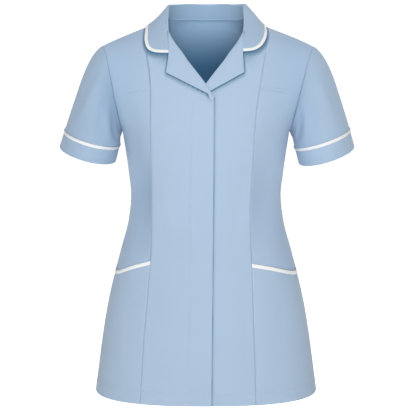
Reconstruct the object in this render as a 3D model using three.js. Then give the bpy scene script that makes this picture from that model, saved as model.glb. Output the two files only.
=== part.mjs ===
// A short-sleeved work tunic, standing hollow as it does when worn.
// Millimetres, +Z up. The front faces -Y and the wearer's right is at -X.
// The origin lies midway between the two side-neck points, level with them.
import * as THREE from 'three';

// ---- driving dimensions ----
const cloth = 1.5; // wall of every panel
const seamGap = 0.3; // between two sewn edges, and between two layers
const hemUp = -720; // lower edge
const armpitUp = -213;
const armpitHalf = 160;
const neckHalf = 72.7; // centre to side-neck point
const neckBack = 66; // side-neck point to the back of the neck
const shoulderTip = {
  right: { half: 195, up: -51.5, slope: 0.4 },
  left: { half: 203, up: -52.8, slope: 0.375 },
};
const upperSquare = 2.2; // 2 is an ellipse, more is squarer

// The body at each level: half width, depth ahead of and behind the side seams.
const bodyLevels = [
  { up: -720, half: 215.2, front: 144, back: 142, square: 2.5 },
  { up: -614, half: 201, front: 138, back: 139, square: 2.44 },
  { up: -543, half: 188.8, front: 133, back: 136, square: 2.4 },
  { up: -485, half: 175, front: 126, back: 130, square: 2.36 },
  { up: -438, half: 162.6, front: 119, back: 119, square: 2.32 },
  { up: -392, half: 150.2, front: 113, back: 106, square: 2.28 },
  { up: -340, half: 144.2, front: 113, back: 97, square: 2.24 },
  { up: -299, half: 148, front: 118, back: 99, square: 2.22 },
  { up: -253, half: 154, front: 123, back: 105, square: 2.2 },
  { up: -213, half: 160, front: 125, back: 108, square: 2.2 },
];

// From armpit level to the shoulder: where the rise leaves the armpit level and reaches the top.
const chest = {
  front: { lowDepth: 125, highDepth: 85, lowEdge: 62, highEdge: 66, neckUp: 0 },
  back: { lowDepth: 108, highDepth: 84, lowEdge: 58, highEdge: 60, neckUp: 40 },
};
const centreRise = 100; // how far a rise keeps upright above the armpit level
const centreReach = 6; // how far below the top it turns level
const edgeRise = 24; // the same at the armhole
const edgeReach = 16;
const turnPower = 2.6; // how late the chest turns towards the armhole

// Seam from shoulder to hem between a centre front and a side front.
const princessSeam = {
  right: [
    { up: -720, across: 126 }, { up: -615, across: 119.4 }, { up: -543, across: 113.3 },
    { up: -479, across: 108 }, { up: -420, across: 103.7 }, { up: -296, across: 102.5 },
    { up: -196, across: 104.5 }, { up: -116, across: 104 }, { up: -63, across: 111 },
    { up: -18, across: 118 },
  ],
  left: [
    { up: -720, across: 95 }, { up: -626, across: 92.6 }, { up: -554, across: 90.2 },
    { up: -455, across: 87 }, { up: -411, across: 84.7 }, { up: -334, across: 84.6 },
    { up: -236, across: 90 }, { up: -171, across: 94 }, { up: -118, across: 101.5 },
    { up: -73, across: 110 }, { up: -18, across: 118 },
  ],
};

// Front edge below the break, and the line on which the lapel folds back above it.
const breakUp = -138;
const gorgeUp = -23;
const frontEdge = [{ up: -720, across: -10 }, { up: -331, across: -13.6 }, { up: breakUp, across: -14.5 }];
const rollLine = [
  { up: breakUp, across: -14.5 }, { up: -114, across: 0.5 }, { up: -70, across: 36 },
  { up: -57, across: 45.5 }, { up: -43, across: 57 }, { up: -31, across: 65 },
  { up: gorgeUp, across: 69.5 }, { up: -11, across: 71.8 }, { up: 0, across: neckHalf },
];

// Where the lapel's outer edge runs, from the gorge round the point to the break.
const lapelEdge = {
  right: [
    { at: 0, across: 69, up: -58.5 }, { at: 0.3, across: 74, up: -92.5 },
    { at: 0.86, across: -4, up: -130 }, { at: 1, across: -9, up: -144 },
  ],
  left: [
    { at: 0, across: 69, up: -58.5 }, { at: 0.3, across: 71, up: -92 },
    { at: 0.86, across: -1, up: -130.5 }, { at: 1, across: -12, up: -138.5 },
  ],
};
const lapelLift = { right: 1.4, left: 1.9, belly: 2.2, edge: 2.8 }; // its face above the front's
const gorgeGap = 1.2; // between the lapel and the end of the collar

// The left front passes under the right one.
const underlap = { deep: 4.2, plain: 2.2, fullTo: 18, goneAt: 62, deepUp: -150, plainUp: -200 };

// Collar, from the back of the neck (0) past the side-neck point to the gorge (1).
const sideNeckAt = 0.64;
const gorgeLevel = 1.742;
const collarCloth = 1.2;
const collarRest = 2.8; // face of the collar above the panels
const collarStand = [
  { at: 0, rise: 27, lean: 4, inset: 1.8, fold: 2.5 },
  { at: 0.32, rise: 26.5, lean: 4, inset: 1.8, fold: 2.5 },
  { at: sideNeckAt, rise: 23, lean: 1.5, inset: 1.7, fold: 2.5 },
  { at: 0.82, rise: 10.5, lean: 0.5, inset: 1, fold: 2 },
  { at: 1, rise: 3.4, lean: 0, inset: 0, fold: 1.6 },
];
const collarShare = { stand: 0.2, roll: 0.4 }; // where the stand and the roll end across the collar
// The fall is fuller beside the neck.
const collarPuff = { right: 0, left: 4.5, from: 0.34, full: 0.58, falls: 0.7, gone: 0.86 };
const collarEdge = {
  right: [
    { at: 0, across: 0, up: -28 }, { at: 0.2, across: 40, up: -30 }, { at: 0.4, across: 80, up: -31 },
    { at: 0.55, across: 103, up: -21 }, { at: sideNeckAt, across: 111.5, up: -15.4 },
    { at: 0.74, across: 114.5, up: -30 }, { at: 0.82, across: 114, up: -42 },
    { at: 0.88, across: 108, up: -53 }, { at: 0.93, across: 95, up: -58 }, { at: 1, across: 69, up: -58.5 },
  ],
  left: [
    { at: 0, across: 0, up: -28 }, { at: 0.2, across: 40, up: -30 }, { at: 0.4, across: 80, up: -31 },
    { at: 0.55, across: 103, up: -21 }, { at: sideNeckAt, across: 111.5, up: -14.4 },
    { at: 0.74, across: 114.5, up: -26 }, { at: 0.82, across: 110, up: -39 },
    { at: 0.88, across: 101, up: -49 }, { at: 0.93, across: 89, up: -54.5 }, { at: 1, across: 68.5, up: -56 },
  ],
};
const neckTape = { high: 4, thick: 1, off: 1, reach: 0.62 };

// Contrast binding on the collar, cuffs and pocket mouths.
const binding = { collar: 6.4, cuff: 5.9, pocket: 7, thick: 2 };

// Slanted hip pocket: its mouth, and how far its back piece hangs inside.
const pocketMouth = {
  right: [{ across: 100, up: -447 }, { across: 138, up: -462 }, { across: 178, up: -485 }],
  left: [{ across: 80, up: -451 }, { across: 125, up: -462.8 }, { across: 178, up: -484 }],
};
const pocketBack = { bottomUp: -610, behind: cloth + 0.4, easeOver: 14, aside: 0.4 };

// Sleeve end: the ring of the cuff's upper edge and of its hem.
const cuffTall = { right: 28.2, left: 30.2 };
const cuffProud = cloth + seamGap;
const sleeveEnd = {
  right: { across: 217.5, up: -226.4, half: 53.3, depth: 62, tilt: 15.6, dip: 4.8 },
  left: { across: 222.3, up: -227.3, half: 54.3, depth: 62, tilt: 18.9, dip: 2.5 },
};
const sleeveHem = {
  right: { across: 227, up: -259.2, half: 54.6, depth: 64, tilt: 14.8, dip: 6 },
  left: { across: 231.9, up: -262, half: 54.6, depth: 64, tilt: 17.3, dip: 4.5 },
};
// How the sleeve leaves the armhole, from the shoulder tip (0) to the armpit (1).
const sleeveLeave = [
  { at: 0, out: 32, down: 14, ahead: 0 }, { at: 0.5, out: 24, down: 12, ahead: 5 },
  { at: 0.85, out: 8, down: 10, ahead: 2 }, { at: 1, out: 2, down: 11, ahead: 0 },
];
const sleeveArrive = 0.4; // share of the length over which it is straight at the cuff

// Largest soft folds in the fronts and the back: deep is negative for a trough.
const bodyFolds = [
  { face: 'front', across: -137, up: -262, tilt: -4, long: 62, wide: 11, deep: -5 },
  { face: 'front', across: -119, up: -250, tilt: 2, long: 55, wide: 9, deep: 2 },
  { face: 'front', across: 128, up: -215, tilt: 52, long: 34, wide: 10, deep: -3 },
  { face: 'front', across: 60, up: -352, tilt: 8, long: 60, wide: 15, deep: -2.5 },
  { face: 'front', across: -70, up: -610, tilt: -3, long: 95, wide: 22, deep: 3 },
  { face: 'front', across: 40, up: -620, tilt: 3, long: 90, wide: 24, deep: 3 },
  { face: 'back', across: -60, up: -335, tilt: 4, long: 80, wide: 14, deep: -4 },
  { face: 'back', across: 62, up: -340, tilt: -5, long: 76, wide: 15, deep: -4 },
  { face: 'back', across: 0, up: -590, tilt: 1, long: 110, wide: 34, deep: 4 },
  { face: 'back', across: 118, up: -600, tilt: 4, long: 100, wide: 24, deep: 3 },
  { face: 'back', across: -112, up: -605, tilt: -3, long: 96, wide: 26, deep: 3 },
];

const paleBlue = 0xb4cae2;
const trimWhite = 0xf1f1f2;

// ---- small helpers ----
const mix = (a, b, t) => a + (b - a) * t;
const clamp = (v, low, high) => Math.min(Math.max(v, low), high);
const ease = (from, to, v) => {
  const t = clamp((v - from) / (to - from), 0, 1);
  return t * t * (3 - 2 * t);
};
const bend = (a, b, c, d, t) => {
  const r = 1 - t;
  return a * r ** 3 + 3 * b * r * r * t + 3 * c * r * t * t + d * t ** 3;
};

// Index of the row of a table that holds v, and how far v lies towards the next.
function place(at, v) {
  const u = clamp(v, at[0], at.at(-1));
  let row = 0;
  while (row < at.length - 2 && u > at[row + 1]) row += 1;
  return { row, t: (u - at[row]) / (at[row + 1] - at[row]) };
}

// A column of a table as a smooth function of its key column.
function smooth(rows, key, column) {
  const at = rows.map((entry) => entry[key]);
  const value = rows.map((entry) => entry[column]);
  const slope = value.map((_, i) => {
    const low = Math.max(i - 1, 0);
    const high = Math.min(i + 1, value.length - 1);
    return (value[high] - value[low]) / (at[high] - at[low]);
  });
  return (v) => {
    const { row, t } = place(at, v);
    const span = at[row + 1] - at[row];
    const third = span / 3;
    const leave = value[row] + slope[row] * third;
    const arrive = value[row + 1] - slope[row + 1] * third;
    return bend(value[row], leave, arrive, value[row + 1], t);
  };
}

// The same with straight lines between the rows, for edges that have corners.
function straight(rows, key, column) {
  const at = rows.map((entry) => entry[key]);
  return (v) => {
    const { row, t } = place(at, v);
    return mix(rows[row][column], rows[row + 1][column], t);
  };
}

const sides = ['right', 'left'];
const signOf = { right: -1, left: 1 };
const perSide = (make) => Object.fromEntries(sides.map((side) => [side, make(side)]));

// ---- the body's surface ----
const level = {
  half: smooth(bodyLevels, 'up', 'half'),
  front: smooth(bodyLevels, 'up', 'front'),
  back: smooth(bodyLevels, 'up', 'back'),
  square: smooth(bodyLevels, 'up', 'square'),
};

// Depth added by the soft folds at a place on one face.
function foldDepth(face, x, up) {
  let depth = 0;
  for (const fold of bodyFolds) {
    if (fold.face !== face) continue;
    const turn = THREE.MathUtils.degToRad(fold.tilt);
    const dx = x - fold.across;
    const dz = up - fold.up;
    const aside = (dx * Math.cos(turn) - dz * Math.sin(turn)) / fold.wide;
    const along = (dx * Math.sin(turn) + dz * Math.cos(turn)) / fold.long;
    depth += fold.deep * Math.exp(-aside * aside - along * along);
  }
  return depth;
}

function shoulderUp(across, side) {
  const tip = shoulderTip[side];
  const span = tip.half - neckHalf;
  const beyond = Math.max(across - neckHalf, 0);
  const lastDrop = -tip.up - tip.slope * span;
  return -(tip.slope * beyond + lastDrop * (beyond / span) ** 6);
}

const upperHalf = (side, rise) => {
  const tip = shoulderTip[side].half;
  return bend(armpitHalf, armpitHalf + 6, tip - 12, tip, rise);
};

// A point of the front or back. Height runs 0 to 1 from hem to armpit level, then 1 to 2 to the
// shoulder seam; share is the part of the half width, signed, -1 at the right edge and 1 at the left.
function bodyPoint(face, share, height) {
  const side = share < 0 ? 'right' : 'left';
  const part = Math.min(Math.abs(share), 1);
  const facing = face === 'front' ? -1 : 1;
  const rise = height - 1;
  let half;
  let depth;
  let up;
  if (rise <= 0) {
    up = mix(hemUp, armpitUp, height);
    half = level.half(up);
    const square = level.square(up);
    depth = level[face](up) * (1 - part ** square) ** (1 / square);
  } else {
    const shape = chest[face];
    half = upperHalf(side, rise);
    const topAcross = part * shoulderTip[side].half;
    const neckRise = shape.neckUp * Math.max(1 - (topAcross / neckHalf) ** 2, 0) ** 1.3;
    const topUp = shoulderUp(topAcross, side) + neckRise;
    const toEdge = part ** 4;
    const turn = 1 - part ** turnPower;
    depth = bend(
      shape.lowDepth * (1 - part ** upperSquare) ** (1 / upperSquare),
      mix(shape.lowEdge, shape.lowDepth, turn),
      mix(shape.highEdge, shape.highDepth, turn),
      0,
      rise,
    );
    const leaving = armpitUp + mix(centreRise, edgeRise, toEdge);
    up = bend(armpitUp, leaving, topUp - mix(centreReach, edgeReach, toEdge), topUp, rise);
  }
  const x = signOf[side] * part * half;
  const calm = 1 - part ** 6; // folds die out at the side edge
  return new THREE.Vector3(x, facing * (depth + seamGap / 2 + calm * foldDepth(face, x, up)), up);
}

function halfAt(side, height) {
  return height <= 1 ? level.half(mix(hemUp, armpitUp, height)) : upperHalf(side, height - 1);
}

// The point at a signed distance from the centre plane, at a height.
const bodyAcross = (face, x, height) => bodyPoint(face, x / halfAt(x < 0 ? 'right' : 'left', height), height);

// The height whose point at x lies at a level up.
function heightAt(face, x, up) {
  let low = 0;
  let high = 2;
  for (let step = 0; step < 30; step += 1) {
    const middle = (low + high) / 2;
    if (bodyAcross(face, x, middle).z < up) low = middle;
    else high = middle;
  }
  return (low + high) / 2;
}

// The height at which a share of the half width meets the curve of the back of the neck.
function neckHeight(share) {
  let low = 1.2;
  let high = 2;
  for (let step = 0; step < 30; step += 1) {
    const middle = (low + high) / 2;
    const point = bodyPoint('back', share, middle);
    const curve = neckBack * Math.sqrt(Math.max(1 - (point.x / neckHalf) ** 2, 0));
    if (point.y > curve) low = middle;
    else high = middle;
  }
  return (low + high) / 2;
}

// Where a line given as across(up) crosses a height.
function crossing(line, sign, face, height) {
  let across = line(armpitUp);
  for (let step = 0; step < 12; step += 1) across = line(bodyAcross(face, sign * across, height).z);
  return across;
}

// Unit normal of a surface of two parameters, facing out of the cloth.
function normalOf(surface, u, v, outward) {
  const step = 0.002;
  const u0 = Math.max(u - step, 0);
  const u1 = Math.min(u + step, 1);
  const v0 = Math.max(v - step, 0);
  const v1 = Math.min(v + step, 1);
  const alongU = surface(u1, v).sub(surface(u0, v));
  const alongV = surface(u, v1).sub(surface(u, v0));
  return alongU.cross(alongV).normalize().multiplyScalar(outward);
}

function bodyNormal(face, x, height) {
  const step = 0.5;
  const rise = Math.min(height + 0.004, 2);
  const fall = Math.max(height - 0.004, 0);
  const alongX = bodyAcross(face, x + step, height).sub(bodyAcross(face, x - step, height));
  const alongUp = bodyAcross(face, x, rise).sub(bodyAcross(face, x, fall));
  const normal = alongX.cross(alongUp).normalize();
  return face === 'front' ? normal : normal.negate();
}

// ---- cloth walls ----
const garment = new THREE.Group();

// A closed wall: surface(u, v) is its outer face, and the inner face lies one thickness behind it.
// A flush wall keeps its edges on the side and shoulder seams square to the seam's plane.
function addCloth(name, colour, surface, grid) {
  const { columns, rows, thick = cloth, outward = 1, round = false, flush = false } = grid;
  const across = round ? columns : columns + 1;
  const outer = [];
  const inner = [];
  for (let j = 0; j <= rows; j += 1) {
    for (let i = 0; i < across; i += 1) {
      const u = i / columns;
      const v = j / rows;
      const point = surface(u, v);
      const normal = normalOf(surface, u, v, outward);
      if (flush && Math.abs(point.y) < seamGap) normal.y = 0;
      outer.push(point);
      inner.push(point.clone().addScaledVector(normal.normalize(), -thick));
    }
  }
  const points = [...outer, ...inner];
  const behind = outer.length;
  const index = [];
  const quad = (a, b, c, d) => {
    if (outward > 0) index.push(a, b, c, a, c, d);
    else index.push(a, c, b, a, d, c);
  };
  const at = (i, j) => j * across + (i % across);
  for (let j = 0; j < rows; j += 1) {
    for (let i = 0; i < columns; i += 1) {
      quad(at(i, j), at(i + 1, j), at(i + 1, j + 1), at(i, j + 1));
      quad(behind + at(i, j), behind + at(i, j + 1), behind + at(i + 1, j + 1), behind + at(i + 1, j));
    }
  }
  for (let i = 0; i < columns; i += 1) {
    quad(at(i, 0), behind + at(i, 0), behind + at(i + 1, 0), at(i + 1, 0));
    quad(at(i + 1, rows), behind + at(i + 1, rows), behind + at(i, rows), at(i, rows));
  }
  for (let j = 0; j < rows && !round; j += 1) {
    quad(at(0, j + 1), behind + at(0, j + 1), behind + at(0, j), at(0, j));
    quad(at(columns, j), behind + at(columns, j), behind + at(columns, j + 1), at(columns, j + 1));
  }
  const geometry = new THREE.BufferGeometry();
  const places = points.flatMap((p) => [p.x, p.y, p.z]);
  geometry.setAttribute('position', new THREE.Float32BufferAttribute(places, 3));
  geometry.setIndex(index);
  geometry.computeVertexNormals();
  const material = new THREE.MeshStandardMaterial({ color: colour, roughness: 0.75, metalness: 0 });
  const mesh = new THREE.Mesh(geometry, material);
  mesh.name = name;
  garment.add(mesh);
}

// ---- fronts ----
const princess = perSide((side) => smooth(princessSeam[side], 'up', 'across'));
const edgeAcross = smooth(frontEdge, 'up', 'across');
const rollAcross = smooth(rollLine, 'up', 'across');
const openEdge = (up) => (up < breakUp ? edgeAcross(up) : rollAcross(up));
const mouth = perSide((side) => smooth(pocketMouth[side], 'across', 'up'));

// How far the left front lies behind the face of the right one.
function underlapDepth(across, up) {
  const depth = mix(underlap.plain, underlap.deep, ease(underlap.plainUp, underlap.deepUp, up));
  return depth * (1 - ease(underlap.fullTo, underlap.goneAt, across));
}

// A front's face at a signed distance from the centre plane, the left one with its underlap.
function frontPoint(side, x, height) {
  const point = bodyAcross('front', x, height);
  if (side === 'left') point.y += underlapDepth(x, point.z);
  return point;
}

function addCentreFront(side) {
  const sign = signOf[side];
  const surface = (u, v) => {
    const height = 2 * v;
    const inner = crossing(openEdge, sign, 'front', height);
    const outer = crossing(princess[side], sign, 'front', height) - seamGap / 2;
    return frontPoint(side, sign * mix(inner, outer, u), height);
  };
  addCloth(`front_${side}_centre`, paleBlue, surface, { columns: 6, rows: 26, outward: sign, flush: true });
}

// A point off the face of the front or back, along its normal.
function offBody(face, x, height, lift) {
  return bodyAcross(face, x, height).addScaledVector(bodyNormal(face, x, height), lift);
}

const heightOf = (up) => (up - hemUp) / (armpitUp - hemUp);

// Spread from a line to the side edge, in even steps round the body.
function spreadToSide(side, inner, u, height) {
  const half = halfAt(side, height);
  const start = Math.asin(inner / half);
  return signOf[side] * half * Math.sin(mix(start, Math.PI / 2, u));
}

// The side front hangs from the shoulder to the pocket mouth, and on behind it as the pocket's back.
function addSideFront(side) {
  const rowsOf = { behind: 4, mouth: 2, flank: 9, chest: 10 };
  const mouthRow = rowsOf.behind;
  const flankRow = mouthRow + rowsOf.mouth;
  const chestRow = flankRow + rowsOf.flank;
  const rows = chestRow + rowsOf.chest;
  const surface = (u, v) => {
    const row = v * rows;
    if (row >= chestRow) {
      const height = 1 + (row - chestRow) / rowsOf.chest;
      const inner = crossing(princess[side], signOf[side], 'front', height) + seamGap / 2;
      return bodyAcross('front', spreadToSide(side, inner, u, height), height);
    }
    const mouthUp = mouthAt(side, u);
    const easeUp = mouthUp + pocketBack.easeOver;
    let up = mix(easeUp, armpitUp, (row - flankRow) / rowsOf.flank);
    if (row < flankRow) up = mix(mouthUp, easeUp, (row - mouthRow) / rowsOf.mouth);
    if (row < mouthRow) up = mix(pocketBack.bottomUp, mouthUp, row / rowsOf.behind);
    const behind = pocketBack.behind * (1 - ease(1, pocketBack.easeOver, up - mouthUp));
    const aside = row <= flankRow ? pocketBack.aside + behind * 0.6 : 0;
    const inner = princess[side](up) + seamGap / 2 + aside;
    return offBody('front', spreadToSide(side, inner, u, heightOf(up)), heightOf(up), -behind);
  };
  addCloth(`front_${side}_side`, paleBlue, surface, { columns: 6, rows, outward: signOf[side], flush: true });
}

// Level of the pocket mouth at a share of the way from the princess seam to the side seam.
function mouthAt(side, u) {
  let up = pocketMouth[side][1].up;
  for (let step = 0; step < 8; step += 1) {
    up = mouth[side](Math.abs(spreadToSide(side, princess[side](up) + seamGap / 2, u, heightOf(up))));
  }
  return up;
}

// The lower side front is the pocket's face; a binding finishes its mouth.
function addPocket(side) {
  const between = (from, to, lift) => (u, v) => {
    const up = mix(from(u), to(u), v);
    const x = spreadToSide(side, princess[side](up) + seamGap / 2, u, heightOf(up));
    return offBody('front', x, heightOf(up), lift);
  };
  const bindingTop = (u) => mouthAt(side, u);
  const bindingFoot = (u) => mouthAt(side, u) - binding.pocket;
  const faceTop = (u) => bindingFoot(u) - seamGap;
  addCloth(`pocket_${side}`, paleBlue, between(() => hemUp, faceTop, 0), {
    columns: 6, rows: 8, outward: signOf[side], flush: true,
  });
  addCloth(`pocket_binding_${side}`, trimWhite, between(bindingFoot, bindingTop, binding.thick - cloth), {
    columns: 6, rows: 1, thick: binding.thick, outward: signOf[side], flush: true,
  });
}

// ---- back ----
// Columns gather at the side-neck points, where the neck's curve meets the shoulder seams.
function addBack() {
  const neckColumns = 7;
  const shoulderColumns = 6;
  const half = neckColumns + shoulderColumns;
  const surface = (u, v) => {
    const column = (2 * u - 1) * half;
    const side = column < 0 ? 'right' : 'left';
    const neckShare = neckHalf / shoulderTip[side].half;
    const away = Math.abs(column);
    let share = neckShare * Math.sin((away / neckColumns) * (Math.PI / 2));
    let top = 2;
    if (away > neckColumns) {
      share = Math.sin(mix(Math.asin(neckShare), Math.PI / 2, (away - neckColumns) / shoulderColumns));
    } else {
      top = neckHeight(signOf[side] * share);
    }
    const height = v < 0.5 ? 2 * v : mix(1, top, 2 * v - 1);
    return bodyPoint('back', signOf[side] * share, height);
  };
  addCloth('back', paleBlue, surface, { columns: 2 * half, rows: 26, outward: -1, flush: true });
}

// ---- sleeves and cuffs ----
const leave = {
  out: smooth(sleeveLeave, 'at', 'out'),
  down: smooth(sleeveLeave, 'at', 'down'),
  ahead: smooth(sleeveLeave, 'at', 'ahead'),
};

// The armhole: round goes 0 at the shoulder tip, 0.25 in front, 0.5 at the armpit, 0.75 behind.
function armholePoint(side, round) {
  const face = round < 0.5 ? 'front' : 'back';
  const point = bodyPoint(face, signOf[side], 1 + Math.abs(1 - 2 * round));
  point.y -= Math.sign(point.y) * (seamGap / 2);
  return point;
}

function sleeveRing(side, ring, round) {
  const angle = 2 * Math.PI * round;
  const tilt = THREE.MathUtils.degToRad(ring.tilt);
  const reach = ring.half * Math.cos(angle);
  const ahead = Math.sin(angle);
  return new THREE.Vector3(
    signOf[side] * (ring.across + reach * Math.cos(tilt)),
    -ring.depth * ahead,
    ring.up + reach * Math.sin(tilt) - ring.dip * ahead,
  );
}

// A point of the sleeve: down runs 0 to 1 from the armhole to the cuff, then 1 to 2 to the hem.
function sleevePoint(side, turn, down) {
  const round = turn - Math.floor(turn);
  const end = sleeveRing(side, sleeveEnd[side], round);
  const hem = sleeveRing(side, sleeveHem[side], round);
  if (down > 1) return end.lerp(hem, down - 1);
  const start = armholePoint(side, round);
  const at = 1 - Math.abs(1 - 2 * round);
  const away = new THREE.Vector3(
    signOf[side] * leave.out(at),
    leave.ahead(at) * (round < 0.5 ? -1 : 1),
    -leave.down(at),
  );
  start.addScaledVector(away.clone().normalize(), seamGap);
  const straightFor = start.distanceTo(end) * sleeveArrive;
  const arrive = end.clone().sub(hem).setLength(straightFor).add(end);
  const first = start.clone().add(away);
  const along = (axis) => bend(start[axis], first[axis], arrive[axis], end[axis], down);
  return new THREE.Vector3(along('x'), along('y'), along('z'));
}

// A band that lies on the sleeve between two of its levels.
function addSleeveBand(name, colour, side, from, to, grid) {
  const { lift = 0, ...size } = grid;
  const face = (u, v) => sleevePoint(side, u, mix(from, to, v));
  const surface = (u, v) => face(u, v).addScaledVector(normalOf(face, u, v, signOf[side]), lift);
  addCloth(name, colour, surface, { columns: 24, outward: signOf[side], round: true, ...size });
}

function addSleeve(side) {
  const bandFoot = 1 + binding.cuff / (cuffTall[side] + binding.cuff);
  const gap = seamGap / (cuffTall[side] + binding.cuff);
  addSleeveBand(`sleeve_${side}`, paleBlue, side, 0, 1.96, { rows: 10 });
  addSleeveBand(`cuff_binding_${side}`, trimWhite, side, 1, bandFoot, {
    rows: 1, lift: binding.thick + seamGap, thick: binding.thick,
  });
  addSleeveBand(`cuff_${side}`, paleBlue, side, bandFoot + gap, 2, { rows: 2, lift: cuffProud });
}

// ---- lapels ----
// Each is the folded-back top of a front: between its roll line and its outer edge.
function addLapel(side) {
  const sign = signOf[side];
  const edge = {
    across: straight(lapelEdge[side], 'at', 'across'),
    up: straight(lapelEdge[side], 'at', 'up'),
  };
  const surface = (u, v) => {
    const rollUp = mix(gorgeUp, breakUp - 0.5, u);
    const across = mix(rollAcross(rollUp), edge.across(u), v) - gorgeGap * (1 - u) ** 2;
    const up = mix(rollUp, edge.up(u), v);
    const x = sign * across;
    const height = heightAt('front', x, up);
    const tucked = side === 'left' ? ease(12, 45, across) : 1;
    const belly = lapelLift.belly * Math.sin(Math.PI * v ** 0.6) * tucked * (1 - u ** 3);
    const atRoll = lapelLift[side];
    const lift = mix(atRoll, mix(atRoll, lapelLift.edge, tucked), v) + belly;
    const point = offBody('front', x, height, lift);
    if (side === 'left') point.y += underlapDepth(x, up);
    return point;
  };
  addCloth(`lapel_${side}`, paleBlue, surface, { columns: 10, rows: 5, outward: sign });
}

// ---- collar ----
const stand = Object.fromEntries(
  ['rise', 'lean', 'inset', 'fold'].map((column) => [column, smooth(collarStand, 'at', column)]),
);
const collarReach = perSide((side) => ({
  across: smooth(collarEdge[side], 'at', 'across'),
  up: smooth(collarEdge[side], 'at', 'up'),
}));

// Where the neck seam lies on the body, at c from -1 at the right gorge to 1 at the left one.
function neckSeam(c) {
  const side = c < 0 ? 'right' : 'left';
  const at = Math.abs(c);
  if (at <= sideNeckAt) {
    const angle = (Math.PI / 2) * (at / sideNeckAt);
    const share = (signOf[side] * neckHalf * Math.sin(angle)) / shoulderTip[side].half;
    return { face: 'back', foot: bodyPoint('back', share, neckHeight(share)), angle };
  }
  const height = mix(2, gorgeLevel, (at - sideNeckAt) / (1 - sideNeckAt));
  const x = signOf[side] * crossing(openEdge, signOf[side], 'front', height);
  return { face: 'front', foot: bodyAcross('front', x, height), angle: Math.PI / 2 };
}

// The collar across its section: 0 to stand inside the neck, to roll over the top, to 1 down the outside.
function collarPoint(c, across, lift = 0) {
  const side = c < 0 ? 'right' : 'left';
  const at = Math.abs(c);
  const { face, foot, angle: around } = neckSeam(c);
  const outward = new THREE.Vector3(signOf[side] * Math.sin(around), Math.cos(around), 0);
  const rise = outward.clone().multiplyScalar(-stand.lean(at)).setZ(stand.rise(at));
  const upward = rise.clone().normalize();
  const inside = foot.clone().addScaledVector(outward, -stand.inset(at));
  const fold = stand.fold(at);
  if (across <= collarShare.stand) {
    return inside.addScaledVector(rise, across / collarShare.stand).addScaledVector(upward, seamGap);
  }
  const { from, full, falls, gone } = collarPuff;
  const beside = ease(from, full, at) * (1 - ease(falls, gone, at));
  const over = (across - collarShare.stand) / (1 - collarShare.stand);
  const puff = collarPuff[side] * beside * Math.sin(Math.PI * over ** 0.8);
  inside.addScaledVector(upward, puff * 0.5).addScaledVector(outward, puff);
  if (across <= collarShare.roll) {
    const angle = Math.PI * ((across - collarShare.stand) / (collarShare.roll - collarShare.stand));
    return inside.add(rise)
      .addScaledVector(upward, seamGap + fold * Math.sin(angle))
      .addScaledVector(outward, fold * (1 - Math.cos(angle)));
  }
  const fall = (across - collarShare.roll) / (1 - collarShare.roll);
  const x = mix(foot.x, signOf[side] * collarReach[side].across(at), fall);
  const height = heightAt(face, x, mix(foot.z, collarReach[side].up(at), fall));
  const settle = ease(0, 1, fall * 1.6);
  return bodyAcross(face, x, height)
    .addScaledVector(bodyNormal(face, x, height), (collarRest + lift) * settle)
    .addScaledVector(outward, (2 * fold - stand.inset(at)) * (1 - settle) + puff)
    .addScaledVector(rise, (1 - fall) ** 1.5)
    .addScaledVector(upward, seamGap * (1 - settle) + puff * 0.5);
}

function addCollar() {
  // the binding's width is measured square to the edge
  const bindingFrom = (c) => {
    const fall = collarPoint(c, 1).sub(collarPoint(c, collarShare.roll));
    const ahead = collarPoint(Math.min(c + 0.01, 1), 1);
    const along = ahead.sub(collarPoint(Math.max(c - 0.01, -1), 1)).normalize();
    const square = Math.max(fall.clone().cross(along).length(), fall.length() / 2);
    return 1 - (binding.collar * (1 - collarShare.roll)) / square;
  };
  const gap = 0.006;
  addCloth('collar', paleBlue, (u, v) => collarPoint(2 * u - 1, v * (bindingFrom(2 * u - 1) - gap)), {
    columns: 44, rows: 11, thick: collarCloth,
  });
  const strip = (u, v) => collarPoint(2 * u - 1, mix(bindingFrom(2 * u - 1), 1, v), 0.4);
  addCloth('collar_binding', trimWhite, strip, { columns: 44, rows: 1, thick: collarCloth + 0.4 });
}

// A narrow tape inside the back of the neck, over the collar seam.
function addNeckTape() {
  const surface = (u, v) => {
    const c = neckTape.reach * (2 * u - 1);
    const { foot, angle } = neckSeam(c);
    const outward = new THREE.Vector3(Math.sign(c) * Math.sin(angle), Math.cos(angle), 0);
    const inset = stand.inset(Math.abs(c)) + neckTape.off + neckTape.thick;
    return foot.addScaledVector(outward, -inset).setZ(foot.z + neckTape.high * (v - 0.5));
  };
  addCloth('neck_tape', paleBlue, surface, { columns: 20, rows: 1, thick: neckTape.thick });
}

// ---- the garment ----
for (const side of sides) {
  addCentreFront(side);
  addSideFront(side);
  addPocket(side);
  addSleeve(side);
  addLapel(side);
}
addBack();
addCollar();
addNeckTape();

export default garment;
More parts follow.
